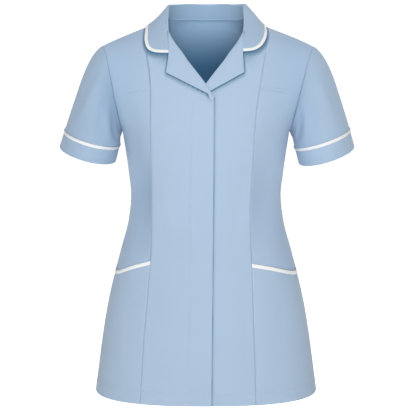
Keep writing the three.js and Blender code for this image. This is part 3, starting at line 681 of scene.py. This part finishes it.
def sleevePoint(side, turn, down):
    # a cubic from the armhole to the cuff's upper edge, then straight to the hem
    turn, down = np.broadcast_arrays(turn - np.floor(turn), down)
    end, hem = ringPoint(side, sleeves["end"][side], turn), ringPoint(side, sleeves["hem"][side], turn)
    start = armholePoint(side, turn)
    at = 1 - np.abs(1 - 2 * turn)
    away = np.stack([signOf[side] * leave["out"](at), leave["ahead"](at) * np.where(turn < 0.5, -1, 1),
                     -leave["down"](at)], -1)
    start = start + unit(away) * 0.2
    reach = np.linalg.norm(start - end, axis=-1, keepdims=True) * sleeves["arrive"]
    share = np.clip(down, 0, 1)[..., None]
    tube = bend(start, start + away, end + unit(end - hem) * reach, end, share)
    return np.where((down > 1)[..., None], mix(end, hem, np.clip(down - 1, 0, None)[..., None]), tube)


def sleeveNormal(side, turn, down):
    alongTurn = sleevePoint(side, turn + 0.002, down) - sleevePoint(side, turn - 0.002, down)
    alongDown = sleevePoint(side, turn, down + 0.004) - sleevePoint(side, turn, np.maximum(down - 0.004, 0))
    return unit(np.cross(alongTurn, alongDown)) * signOf[side]


def sleeveRelief(side, turn, down):
    relief = np.zeros(np.broadcast(turn, down).shape)
    for middle, place, half, long, slant, deep in sleeves["folds"]:
        aside = (turn - middle - slant * (down - place) + 0.5) % 1 - 0.5
        relief = relief + deep * hump(aside, half) * hump(down - place, long)
    relief = relief * sleeves["foldShare"][side] * ease(0, 0.22, down) * (1 - 0.85 * ease(0.6, 0.98, down))
    # the cloth swells over the cuff's edge, is eased into the crown, and dips at the armhole's seam
    swell = 1.25 * ease(0.62, 0.97, down) * (1 - ease(1, 1.06, down)) * (down < 1.5)
    crown = hump((turn + 0.5) % 1 - 0.5, math.sqrt(0.03))
    size, waves, sway, swayWaves = sleeves["ease"]
    eased = size * np.sin(waves * turn + sway * np.sin(swayWaves * turn)) * hump(down, 0.09) * crown
    return relief + swell + eased - 0.3 * hump(down, 0.009) + 0.5 * hump(down - 0.05, 0.035)


def sleeveFace(side, turn, down, lift=0.0):
    out = sleeveRelief(side, turn, down) + lift
    return sleevePoint(side, turn, down) + sleeveNormal(side, turn, down) * out[..., None]


def addSleeve(side):
    turn = np.linspace(0, 1, sleeves["columns"], endpoint=False)[None]
    down = pitched(0, 1.9, 0.02, [(0, 0.03, 0.005)])[:, None]
    # painted shade beside the body, near the armhole, and along the top of the armhole's seam
    beside = sum(hump(turn - at, sleeves["besideWide"]) for at in sleeves["besideAt"])
    wide, narrow, seam = sleeves["shadeIn"][side]
    turned = beside * (wide * hump(down, 0.4) + narrow * hump(down, 0.13) + 0.06)
    onTop = ease(0.2, 0.3, np.abs(turn - 0.5))
    tint = paintedShade(sleeves["shade"][side] + turned + seam * onTop * hump(down, 0.012))
    points = sleeveFace(side, *np.broadcast_arrays(turn, down))
    addCloth("sleeve_" + side, points, body["cloth"], signOf[side], True, tint)


def addCuff(side):
    # turned up outside: down its face, round the hem and up inside
    turn = np.linspace(0, 1, sleeves["columns"], endpoint=False)
    tall, proud = sleeves["cuffTall"][side] + sleeves["bindWide"], sleeves["cuffProud"]
    radius, rounded = (proud + sleeves["cuffInside"]) / 2, np.linspace(0, np.pi, 9)[1:]
    last = 2 - radius / tall
    outside = np.linspace(1 + (sleeves["bindWide"] - 0.6) / tall, last, 26)
    inside = np.linspace(last, 1.2, 16)[1:]
    down = np.concatenate([outside, last + np.sin(rounded) * radius / tall, inside])
    lift = [outside * 0 + proud, proud - radius * (1 - np.cos(rounded)), inside * 0 + proud - 2 * radius]
    lift = np.concatenate(lift)
    lift = lift - 0.38 * hump((down - 1.93) * tall, 1.2) * (lift > 0)
    points = sleeveFace(side, *np.broadcast_arrays(turn[None], down[:, None]), lift[:, None])
    # the cuff takes the sleeve's painted shade
    tint = paintedShade(sleeves["shade"][side])
    addCloth("cuff_" + side, points, sleeves["cuffCloth"], signOf[side], True, tint)
    low, top = (sleeveFace(side, turn, np.full(turn.shape, place), proud + 0.1)
                for place in (1 + sleeves["bindWide"] / tall, 1.0))
    normal = sleeveNormal(side, turn, np.full(turn.shape, 1.1))
    addStrip("cuff_binding_" + side, low, top, normal, sleeves["bindThick"], ring=True)


for side in sides:
    addSleeve(side)
    addCuff(side)
print("sleeves and cuffs made")

# Lapels: each front's folded-back top, from round its roll line out to its edge.
lapels = {
    "edge": {"at": [0, 0.3, 0.86, 1], "right": {"across": [69, 74, -4, -9], "up": [-58.5, -92.5, -130, -144]},
             "left": {"across": [69, 71, -1, -12], "up": [-58.5, -92, -130.5, -138.5]}},
    "rollShare": 0.12, "roll": 1.25, "belly": 1.9, "tip": 2.6, "gorgeGap": 0.5, "thick": 1.1,
}


def lapelFace(side, along, across):
    # along: 0 at the gorge, 1 at the break; across: 0 inside the roll, 1 at the outer edge
    sign, at, rollShare = signOf[side], lapels["edge"]["at"], lapels["rollShare"]
    rollUp = mix(opening["gorgeUp"], opening["breakUp"] - 0.5, along)
    out = np.clip((across - rollShare) / (1 - rollShare), 0, 1)
    edgeX, edgeUp = (np.interp(along, at, lapels["edge"][side][name]) for name in ("across", "up"))
    x = mix(rollAcross(rollUp), edgeX, out) - lapels["gorgeGap"] * (1 - along) ** 2
    up = mix(rollUp, edgeUp, out)
    height = heightAt("front", sign * x, up)
    tucked = ease(12, 45, x) if side == "left" else 1.0
    swell = lapels["belly"] * np.sin(np.pi * out ** 0.6) * tucked * (1 - along ** 3)
    swell = swell + 0.35 * np.sin(9 * along + 4 * out) * out * tucked
    turn = np.pi * np.clip(across / rollShare, 0, 1)
    lift = lapels["roll"] * (1 - np.cos(turn)) + swell + (lapels["tip"] - 2 * lapels["roll"]) * tucked * out
    point = offBody("front", sign * x, height, lift)
    away = unit(np.stack([sign * (edgeX - rollAcross(rollUp)), 0 * x, edgeUp - rollUp], -1))
    point = point - away * (lapels["roll"] * np.sin(turn))[..., None]
    if side == "left":
        point[..., 1] += underlapDepth(x, up)
    return point


def addLapel(side):
    along = pitched(0, 140, 2.2, [(0, 3, 0.6), (42, 4, 0.5), (140, 3, 0.6)]) / 140
    across = mix(lapels["rollShare"], 1, columnsFor(60, 2.2)[1:])
    across = np.concatenate([np.linspace(0, lapels["rollShare"], 9), across])
    points = lapelFace(side, *np.broadcast_arrays(along[None], across[:, None]))
    addCloth("lapel_" + side, points, lapels["thick"], signOf[side])


for side in sides:
    addLapel(side)
print("lapels made")

# Collar, from the nape (0) past the side-neck point to the gorge (1).
collar = {
    "sideNeckAt": 0.64, "gorgeLevel": 1.742, "rest": 2.8, "thick": 1.1, "gap": 0.3,
    "stand": {"at": [0, 0.32, 0.64, 0.82, 1], "rise": [27, 26.5, 23, 10.5, 3], "lean": [4, 4, 1.5, 0.5, 0],
              "inset": [1.8, 1.8, 1.7, 1, 0], "fold": [2.5, 2.5, 2.5, 2, 1.6]},
    "share": {"stand": 0.2, "roll": 0.4},
    "puff": {"right": 0, "left": 4.5},
    "edge": {"at": [0, 0.2, 0.4, 0.55, 0.64, 0.74, 0.82, 0.88, 0.93, 1],
             "right": {"across": [0, 40, 80, 103, 111.5, 114.5, 114, 108, 95, 69],
                       "up": [-28, -30, -31, -21, -15.4, -30, -42, -53, -58, -58.5]},
             "left": {"across": [0, 40, 80, 103, 111.5, 114.5, 110, 101, 89, 68.5],
                      "up": [-28, -30, -31, -21, -14.4, -26, -39, -49, -54.5, -56]}},
    # painted shade over the collar's fall; bluer painted light and shade on the stand's inside and on the
    # neck tape
    "bindWide": 6.6, "bindThick": 2, "bindSunk": 0.45, "shade": 0.11, "standInsideShade": (0.92, 1.03, 1.08),
    "tape": {"high": 4.2, "thick": 0.6, "off": 1, "reach": 0.62, "tint": np.array([0.95, 1.06, 1.13])},
}
stand = curves(collar["stand"])
collarReach = {side: curves({"at": collar["edge"]["at"], **collar["edge"][side]}) for side in sides}


def neckSeam(c):
    # where the neck seam lies, and which way is out of the neck there
    at, sign = np.abs(c), np.where(c < 0, -1.0, 1.0)
    turn = np.pi / 2 * np.clip(at / collar["sideNeckAt"], 0, 1)
    share = sign * body["neckHalf"] * np.sin(turn) / bySide(body["tipHalf"], sign)
    behind = bodyPoint("back", share, neckHeight(share))
    toGorge = np.clip((at - collar["sideNeckAt"]) / (1 - collar["sideNeckAt"]), 0, 1)
    height = mix(2, collar["gorgeLevel"], toGorge)
    ahead = bodyAcross("front", sign * crossing(openAcross, sign, height), height)
    onBack = at <= collar["sideNeckAt"]
    outward = np.stack([sign * np.sin(turn), np.cos(turn), 0 * turn], -1)
    return onBack, np.where(onBack[..., None], behind, ahead), outward


def collarPoint(c, across):
    # across: up the stand inside the neck, over the roll at the top, and down the outside to 1 at the edge
    c, across = np.broadcast_arrays(np.asarray(c, float), np.asarray(across, float))
    at, sign = np.abs(c), np.where(c < 0, -1.0, 1.0)
    onBack, foot, outward = neckSeam(c)
    rise = -outward * stand["lean"](at)[..., None]
    rise[..., 2] = stand["rise"](at)
    upward, inset, fold = unit(rise), stand["inset"](at), stand["fold"](at)
    standShare, rollShare = collar["share"]["stand"], collar["share"]["roll"]
    beside = ease(0.34, 0.58, at) * (1 - ease(0.7, 0.86, at))
    over = np.clip((across - standShare) / (1 - standShare), 0, 1)
    puff = bySide(collar["puff"], sign) * beside * np.sin(np.pi * over ** 0.8)
    inside = foot - outward * inset[..., None]
    standing = inside + rise * np.clip(across / standShare, 0, 1)[..., None] + upward * collar["gap"]
    angle = np.pi * np.clip((across - standShare) / (rollShare - standShare), 0, 1)
    rolled = inside + rise + upward * (collar["gap"] + fold * np.sin(angle) + puff * 0.5)[..., None]
    rolled = rolled + outward * (fold * (1 - np.cos(angle)) + puff)[..., None]
    fall = np.clip((across - rollShare) / (1 - rollShare), 0, 1)
    edgeX, edgeUp = (bySide({side: collarReach[side][name](at) for side in sides}, sign)
                     for name in ("across", "up"))
    x, up = mix(foot[..., 0], sign * edgeX, fall), mix(foot[..., 2], edgeUp, fall)
    settle = ease(0, 1, fall * 1.6)
    laid = np.zeros_like(foot)
    for face, mask in (("back", onBack), ("front", ~onBack)):
        if mask.any():
            height = heightAt(face, x[mask], up[mask])
            laid[mask] = offBody(face, x[mask], height, collar["rest"] * settle[mask])
    laid = laid + outward * ((2 * fold - inset) * (1 - settle) + puff)[..., None]
    laid = laid + rise * ((1 - fall) ** 1.5)[..., None]
    laid = laid + upward * (collar["gap"] * (1 - settle) + puff * 0.5)[..., None]
    point = np.where((across <= rollShare)[..., None], rolled, laid)
    point = np.where((across <= standShare)[..., None], standing, point)
    wave = 0.4 * np.sin(13 * c + 3 * across) * ease(0.4, 0.8, across)
    return point + unit(outward + np.array([0, 0, 0.6])) * wave[..., None]


def addCollar():
    c = np.sort(np.concatenate([np.linspace(-1, 1, 181), [-0.997, -0.993, 0.993, 0.997]]))
    standShare, rollShare = collar["share"]["stand"], collar["share"]["roll"]
    edge = collarPoint(c, 1)
    fallen = edge - collarPoint(c, rollShare)
    length = np.linalg.norm(np.cross(fallen, unit(np.gradient(edge, axis=0))), axis=1)
    length = np.maximum(length, np.linalg.norm(fallen, axis=1) * 0.5)
    bindFrom = 1 - collar["bindWide"] * (1 - rollShare) / length
    share = np.concatenate([np.linspace(0, standShare, 10), np.linspace(standShare, rollShare, 14)[1:],
                            np.linspace(rollShare, 1, 34)[1:]])
    points = collarPoint(c[None], share[:, None] * (bindFrom + 0.008)[None])
    # painted shade on the fall, and bluer painted light and shade on the stand's inside
    within = (1 - ease(0.22, 0.36, share))[:, None, None]
    tint = mix(paintedShade(collar["shade"]), np.array(collar["standInsideShade"]), within) * np.ones_like(points)
    addCloth("collar", points, collar["thick"], 1, tint=tint)
    low = collarPoint(c, bindFrom)
    normal = unit(np.cross(np.gradient(low, axis=0), edge - low))
    sunk = normal * collar["bindSunk"]
    addStrip("collar_binding", low - sunk, edge - sunk, normal, collar["bindThick"])


def addNeckTape():
    tape = collar["tape"]
    c = np.linspace(-tape["reach"], tape["reach"], 90)
    _, foot, outward = neckSeam(c)
    line = foot - outward * (stand["inset"](np.abs(c)) + tape["off"] + tape["thick"] / 2)[:, None]
    drop = np.array([0, 0, tape["high"] / 2])
    # the tape takes a bluer painted light and shade, and painted shade along its edges
    addStrip("neck_tape", line - drop, line + drop, outward, tape["thick"] * 1.3, tint=tape["tint"])


addCollar()
addNeckTape()
print("collar made")

# Topstitching in thread: little rounded bars laid along a line on the cloth.
thread = {"long": 2.3, "gap": 1.1, "wide": 0.42, "proud": 0.12, "dive": 0.25, "inside": 1.3, "around": 6,
          "at": [-1, -0.7, 0, 0.7, 1], "size": [0.02, 0.8, 1, 0.8, 0.02]}


def addStitches(name, line, normal):
    # the line is cut into equal pitches, and a squashed bar lies over each one
    length = lengthAlong(line)
    count = max(int(length[-1] / (thread["long"] + thread["gap"])), 1)
    middle = (np.arange(count) + 0.5) * length[-1] / count

    def sampled(values, at):
        return np.stack([np.interp(at, length, values[:, k]) for k in range(3)], 1)

    ahead = unit(sampled(line, middle + 0.5) - sampled(line, middle - 0.5))
    out = unit(sampled(normal, middle))
    aside = np.cross(out, ahead)
    turn = np.linspace(0, 2 * np.pi, thread["around"], endpoint=False)
    along, size, half = np.array(thread["at"])[:, None], np.array(thread["size"])[:, None], thread["wide"] / 2
    reach, wide = along * thread["long"] / 2 + 0 * turn, size * np.cos(turn) * half
    high = size * (np.sin(turn) * half + thread["proud"]) - thread["dive"] * (1 - size)
    bar = sum(way[:, None, None] * far[..., None]
              for way, far in ((ahead, reach), (aside, wide), (out, high)))
    points = (sampled(line, middle)[:, None, None] + bar).reshape(-1, 3)
    each = along.size * turn.size
    ends = [list(range(turn.size))[::-1], list(range(each - turn.size, each))]
    one = quads(gridOf(along.size, turn.size, True)).tolist() + ends
    faces = [[v + k * each for v in face] for k in range(count) for face in one]
    piece = addMesh(name, points, faces, np.repeat(middle, each)[:, None] * np.ones((1, 2)))
    turnOutward(piece.data)
    threads.append(piece)


def frontLine(side, x, up):
    height = np.where(up <= body["armpitUp"], heightOf(up), heightAt("front", x, up))
    return frontFace(side, x, height), bodyNormal("front", x, height)


def addFrontStitches():
    up = np.linspace(-716, sewing["placketStitchTo"] - 4, 400)
    addStitches("stitch_placket", *frontLine("right", placketAcross(up), up))
    for side in sides:
        sign = signOf[side]
        up = np.full(160, body["hemUp"] + sewing["hemStitch"])
        seam = seamAcross[side](up)[0]
        edge = edgeAcross(up)[0]
        x = sign * np.linspace(edge + 2, seam - 1.5, 160)
        addStitches("stitch_hem_front_" + side, *frontLine(side, x, up))
        u = np.linspace(0.012, 0.985, 160)
        points, normal = pocketFace(side, u, up)
        addStitches("stitch_hem_pocket_" + side, points, normal)
        low = mouthAt(side, u) - pockets["bindWide"] - 1.2
        points, normal = pocketFace(side, u[2:-2], low[2:-2])
        addStitches("stitch_mouth_" + side, points, normal)


def addBackStitches():
    share = np.sin(np.linspace(-0.985, 0.985, 300) * np.pi / 2)
    height = np.full(share.shape, sewing["hemStitch"] / spread["low"])
    points = bodyPoint("back", share, height)
    normal = bodyNormal("back", points[:, 0], height)
    points = points + normal * hemRelief(points[:, 0], points[:, 2])[:, None]
    addStitches("stitch_hem_back", points, normal)


def addCollarStitches():
    c = np.linspace(-0.985, 0.985, 400)
    edge, rollShare = collarPoint(c, 1), collar["share"]["roll"]
    length = np.linalg.norm(collarPoint(c, rollShare) - edge, axis=-1)
    inner = collarPoint(c, 1 - (collar["bindWide"] + thread["inside"]) * (1 - rollShare) / length)
    normal = unit(np.cross(np.gradient(inner, axis=0), edge - inner))
    addStitches("stitch_collar", inner, normal)


def addCuffStitches(side):
    tall = sleeves["cuffTall"][side] + sleeves["bindWide"]
    turn = np.linspace(0, 1, 300)
    for name, place in (("top", 1 + (sleeves["bindWide"] + thread["inside"]) / tall), ("hem", 2 - 4 / tall)):
        down = np.full(turn.shape, place)
        points = sleeveFace(side, turn, down, sleeves["cuffProud"])
        addStitches("stitch_cuff_" + name + "_" + side, points, sleeveNormal(side, turn, down))


addFrontStitches()
addBackStitches()
addCollarStitches()
for side in sides:
    addCuffStitches(side)
print("stitching made:", len(threads), "lines")


class Link:
    # a socket in a material, with arithmetic that adds Math nodes
    def __init__(self, tree, socket):
        self.tree, self.socket = tree, socket

    def math(self, operation, first, second=None):
        values = {0: first} if second is None else {0: first, 1: second}
        return self.tree.node("Math", {"operation": operation}, values)[0]

    def __add__(self, other):
        return self.math("ADD", self, other)

    def __sub__(self, other):
        return self.math("SUBTRACT", self, other)

    def __rsub__(self, other):
        return self.math("SUBTRACT", other, self)

    def __mul__(self, other):
        return self.math("MULTIPLY", self, other)

    __radd__, __rmul__ = __add__, __mul__


class Finish:
    # the nodes of a material or of the world; node() adds one from its type, its settings, and a value or a
    # link for each socket
    def __init__(self, owner):
        owner.use_nodes = True
        self.owner, self.nodes, self.links = owner, owner.node_tree.nodes, owner.node_tree.links
        self.nodes.clear()

    def node(self, kind, settings=None, values=None):
        made = self.nodes.new("ShaderNode" + kind)
        for name, value in (settings or {}).items():
            if name == "stops":
                for stop, (place, colour) in zip(made.color_ramp.elements, value):
                    stop.position, stop.color = place, (*colour, 1)
            else:
                setattr(made, name, value)
        for name, value in (values or {}).items():
            if isinstance(value, Link):
                self.links.new(value.socket, made.inputs[name])
            else:
                made.inputs[name].default_value = value
        return [Link(self, socket) for socket in made.outputs if socket.enabled]


# Linear colour, how far it wanders, the pitch of the weave in metres, roughness and sheen.
fabric = {
    "cloth": ((0.43, 0.562, 0.725), 0.035, 0.0011, 0.86, 0.22),
    "binding": ((0.93, 0.93, 0.925), 0.02, 0.0009, 0.8, 0.15),
    "stitch": ((0.42, 0.545, 0.7), 0.02, 0.0006, 0.7, 0.1),
}
# What all three share: noise scales, how uneven the threads are, and the bump's strength and depth in metres.
weave = {"slubs": ((900.0, 26.0, 1.0), (26.0, 900.0, 1.0)), "cloud": 9.0, "fleck": 240.0, "bump": 0.28,
         "deep": 0.00035, "stops": (0.38, 0.62), "brightest": 0.95}


def addFinish(name):
    base, mottle, pitch, rough, sheen = fabric[name]
    finish = Finish(bpy.data.materials.new(name))

    def noise(vector, scale, detail, uneven=0.5):
        values = {"Vector": vector, "Scale": scale, "Detail": detail, "Roughness": uneven}
        return finish.node("TexNoise", None, values)[0]

    grain = finish.node("UVMap", {"uv_map": "grain"})[0]
    across, along, _ = finish.node("SeparateXYZ", None, {"Vector": grain})[:3]
    place = finish.node("TexCoord")[3]
    # plain weave: warp and weft threads cross, each with uneven thickness
    turns, slubs = 2 * math.pi / pitch, []
    for stretch in weave["slubs"]:
        drawn = finish.node("Mapping", {"vector_type": "POINT"}, {"Vector": grain, "Scale": stretch})[0]
        slubs.append(noise(drawn, 1.0, 2.0))
    warp = across.math("SINE", across * turns) * 0.5 + 0.5
    weft = across.math("SINE", along * turns) * 0.5 + 0.5
    crossed = across.math("MAXIMUM", warp * weft, (1 - warp) * (1 - weft))
    height = crossed * 0.5 + slubs[0] * 0.5 + slubs[1] * 0.5
    cloudy, fleck = noise(place, weave["cloud"], 3.0, 0.55), noise(place, weave["fleck"], 2.0)
    tone = (cloudy - 0.5) * 1.2 + (fleck - 0.5) * 0.6 + (slubs[0] + slubs[1] - 1) * 0.5
    shade = tone * mottle * 2 + 0.5
    stops = [(at, [min(v * share, weave["brightest"]) for v in base])
             for at, share in zip(weave["stops"], (1 - mottle * 2, 1 + mottle * 2))]
    colour = finish.node("ValToRGB", {"stops": stops}, {"Fac": shade})[0]
    # the tint attribute carries the painted shade and painted light laid on each piece, and multiplies the
    # colour
    tint = finish.node("Attribute", {"attribute_name": "tint"})[0]
    both = {0: 1.0, 6: colour, 7: tint}
    colour = finish.node("Mix", {"data_type": "RGBA", "blend_type": "MULTIPLY"}, both)[0]
    relief = {"Strength": weave["bump"], "Distance": weave["deep"], "Height": height}
    bump = finish.node("Bump", None, relief)[0]
    shader = finish.node("BsdfPrincipled", None, {
        "Base Color": colour, "Roughness": rough + (fleck - 0.5) * 0.1, "Normal": bump, "Sheen Weight": sheen,
        "Sheen Roughness": 0.5, "Specular IOR Level": 0.25})[0]
    finish.node("OutputMaterial", None, {"Surface": shader})
    return finish.owner


# Painted shade on the fronts and back: below the collar and the lapels, in the corner under the collar, along
# the seams and the dart, beside the seam at the waist, towards the side seams, and on the left front beside
# the edge of the right one.
overhang = {
    "collar": {"steps": 9, "drop": 1.9, "share": 0.9, "edge": 1, "near": 2.8, "soft": 1.5, "outer": 0},
    "lapel": {"steps": 5, "drop": 1.6, "share": 0.4, "edge": 1, "near": 2.8, "soft": 1.2, "outer": 1},
    "from": -190, "lapelReach": 0.9,
    # painted shade in a deep corner below the collar, beside each lapel: across, up, most
    "corner": {"right": (74, -62, 0.62), "left": (78, -62, 0.36), "wide": 13, "tall": 13},
    "edge": 1, "edgeSoft": 1.5, "dart": 0.15, "dartSoft": 1.4, "seamSoft": 0.9,
    "seam": {"up": [-720, -560, -440, -380, -180, -130, -60],
             "right": [0.3, 0.62, 0.42, 0.32, 0.3, 0.42, 0.55],
             "left": [0.42, 0.4, 0.3, 0.2, 0.2, 0.18, 0.1]},
    "waist": {"right": 0.32, "left": 0.2, "up": -325, "tall": 90, "wide": 28},
    # painted shade, darker and bluer towards the side seams
    "side": np.array([-0.05, -0.02, 0.015]),
}


def distanceTo(points, line):
    best = np.full(len(points), 1e9)
    for start, run in zip(line[:-1], np.diff(line, axis=0)):
        t = np.clip((points - start) @ run / (run @ run), 0, 1)
        best = np.minimum(best, np.linalg.norm(points - start - t[:, None] * run, axis=1))
    return best


def shadedBy(points, line, look):
    # painted shadow: darkest close to the edge's outline, which is moved down in steps, each fainter than the
    # last
    most = np.zeros(len(points))
    for step in range(look["steps"]):
        away = np.maximum(distanceTo(points, line - [0, 0, step * look["drop"]]) - look["near"], 0)
        outer = 1 + look["outer"] * ease(20, 55, np.abs(points[:, 0]))
        amount = look["edge"] if step == 0 else look["share"] * outer * (1 - step / look["steps"]) ** 1.2
        most = np.maximum(most, amount * hump(away, look["soft"]))
    return most


def frontShade(side, x, up):
    # painted shade in the corner below the collar, along the seam, beside it at the waist, and along the dart
    across, corner, waist = np.abs(x), overhang["corner"], overhang["waist"]
    away, (middle, middleUp, most) = across - seamAcross[side](up), corner[side]
    inSeam = np.interp(up, overhang["seam"]["up"], overhang["seam"][side]) * hump(away, overhang["seamSoft"])
    atWaist = hump(up - waist["up"], waist["tall"]) * hump(away, waist["wide"]) * (away > 0)
    atDart = hump(up - dartUp[side](across), overhang["dartSoft"]) * inDart(across)
    inCorner = most * hump(across - middle, corner["wide"]) * hump(up - middleUp, corner["tall"])
    return np.maximum.reduce([inCorner, inSeam, waist[side] * atWaist, overhang["dart"] * atDart])


# painted shade laid into the tint of the fronts and the back
def addShade():
    along = np.linspace(0, overhang["lapelReach"], 30)
    collarEdge = collarPoint(np.linspace(-1, 1, 90), 1)
    for node in ("front_right_centre", "front_left_centre", "front_right_side", "front_left_side", "back"):
        mesh, count = pieces[node].data, outerPoints[node]
        place, tint = read(mesh.vertices, "co", 3) * 1000, read(mesh.attributes["tint"].data, "color", 4)
        x, up = place[:, 0], place[:, 2]
        share, near = np.zeros(len(place)), up > overhang["from"]
        share[near] = shadedBy(place[near], collarEdge, overhang["collar"])
        for side in sides:
            if side in node:
                below = shadedBy(place[near], lapelFace(side, along, np.ones(30)), overhang["lapel"])
                share[near] = np.maximum(share[near], below)
                share = np.maximum(share, frontShade(side, x, up))
        if node == "front_left_centre":
            # painted shade on the left front beside the right one's edge
            away = np.abs(x + edgeAcross(up)) / overhang["edgeSoft"]
            share = np.maximum(share, overhang["edge"] * np.exp(-away) * (up < opening["breakUp"]))
        share[count:2 * count] = 0
        # painted shade towards the side seams, with the painted shadows above, multiplies the outer face's
        # tint
        toSide = ease(0.55, 1, np.abs(x) / level["half"](up))[:, None]
        tint[:, :3] *= paintedShade(share) * (1 + overhang["side"] * toSide)
        mesh.attributes["tint"].data.foreach_set("color", tint.ravel().astype(np.float32))


addShade()
print("shade laid")
finishes = {name: addFinish(name) for name in fabric}
print("finishes made")

# Each piece takes its finish, hangs from the root, and hides its CAD part; each line of stitching takes the
# thread's finish.
for node, piece in pieces.items():
    isTrim = "binding" in node
    piece.data.materials.append(finishes["binding" if isTrim else "cloth"])
    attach(piece, "root")
    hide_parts(node)
for piece in threads:
    piece.data.materials.append(finishes["stitch"])
    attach(piece, "root")

studio = {
    "floorUp": -1.42, "floorHalf": 40, "sensor": 36, "lens": 170.4,
    "camera": (0.0039, -3.745, 0.2785), "aim": (0.0039, 0.0, -0.365),
    # name, place, what it points at, size, power
    "lights": [("key", (-0.3, -3.0, 2.0), (0, 0, -0.35), 1.3, 50),
               ("fill", (0.4, -3.7, 0.3), (0, 0, -0.35), 1.2, 28),
               ("top", (0.1, 0.6, 2.6), (0, 0, -0.35), 1.5, 21),
               ("back", (0.7, 3.4, 1.5), (0, 0, -0.35), 1.6, 22),
               ("floor", (0, -4.4, -0.1), (0, -4.4, -1.42), 4.0, 42)],
    # the floor glows from one distance to another off a point before the tunic, and the sky is white low down
    "glow": {"from": (0, -2.2, -1.42), "start": 2.6, "full": 4.4, "least": 0.05, "most": 1.0},
    "sky": {"start": 0.05, "full": 0.2, "least": 1.0, "most": 0.12},
}


def aimed(thing, place, target):
    thing.location = place
    away = np.array(place, float) - np.array(target, float)
    flat = math.hypot(away[0], away[1])
    thing.rotation_euler = (math.atan2(flat, away[2]), 0, math.atan2(away[0], -away[1]))
    bpy.context.scene.collection.objects.link(thing)


def smoothed(finish, value, look):
    # from the least to the most, smoothly, as the value goes from start to full
    return finish.node("MapRange", {"interpolation_type": "SMOOTHSTEP"}, {
        "Value": value, "From Min": look["start"], "From Max": look["full"],
        "To Min": look["least"], "To Max": look["most"]})[0]


def addFloor():
    half, up = studio["floorHalf"] * 1000, studio["floorUp"] * 1000
    points = np.array([[-half, -half, up], [half, -half, up], [half, half, up], [-half, half, up]])
    floor = addMesh("floor", points, [[0, 1, 2, 3]])
    paint, look = Finish(bpy.data.materials.new("floor_paint")), studio["glow"]
    ends = {0: paint.node("TexCoord")[3], 1: look["from"]}
    away = paint.node("VectorMath", {"operation": "DISTANCE"}, ends)[0]
    shader = paint.node("BsdfPrincipled", None, {
        "Base Color": (0.9, 0.9, 0.9, 1), "Roughness": 0.9, "Emission Color": smoothed(paint, away, look),
        "Emission Strength": 1.0})[0]
    paint.node("OutputMaterial", None, {"Surface": shader})
    floor.data.materials.append(paint.owner)


def addSky():
    sky = Finish(bpy.data.worlds.new("sky"))
    up = sky.node("SeparateXYZ", None, {"Vector": sky.node("TexCoord")[0]})[2]
    light = smoothed(sky, up, studio["sky"])
    shader = sky.node("Background", None, {"Color": (1, 1, 1, 1), "Strength": light})[0]
    sky.node("OutputWorld", None, {"Surface": shader})
    bpy.context.scene.world = sky.owner


def addStudio():
    addFloor()
    addSky()
    for name, place, target, size, power in studio["lights"]:
        light = bpy.data.lights.new(name, "AREA")
        light.size, light.energy = size, power
        aimed(bpy.data.objects.new(name, light), place, target)
    lens = bpy.data.cameras.new("camera")
    lens.lens, lens.sensor_width = studio["lens"], studio["sensor"]
    camera = bpy.data.objects.new("camera", lens)
    aimed(camera, studio["camera"], studio["aim"])
    bpy.context.scene.camera = camera
    bpy.context.scene.view_settings.view_transform = "Standard"


addStudio()
print("studio made")
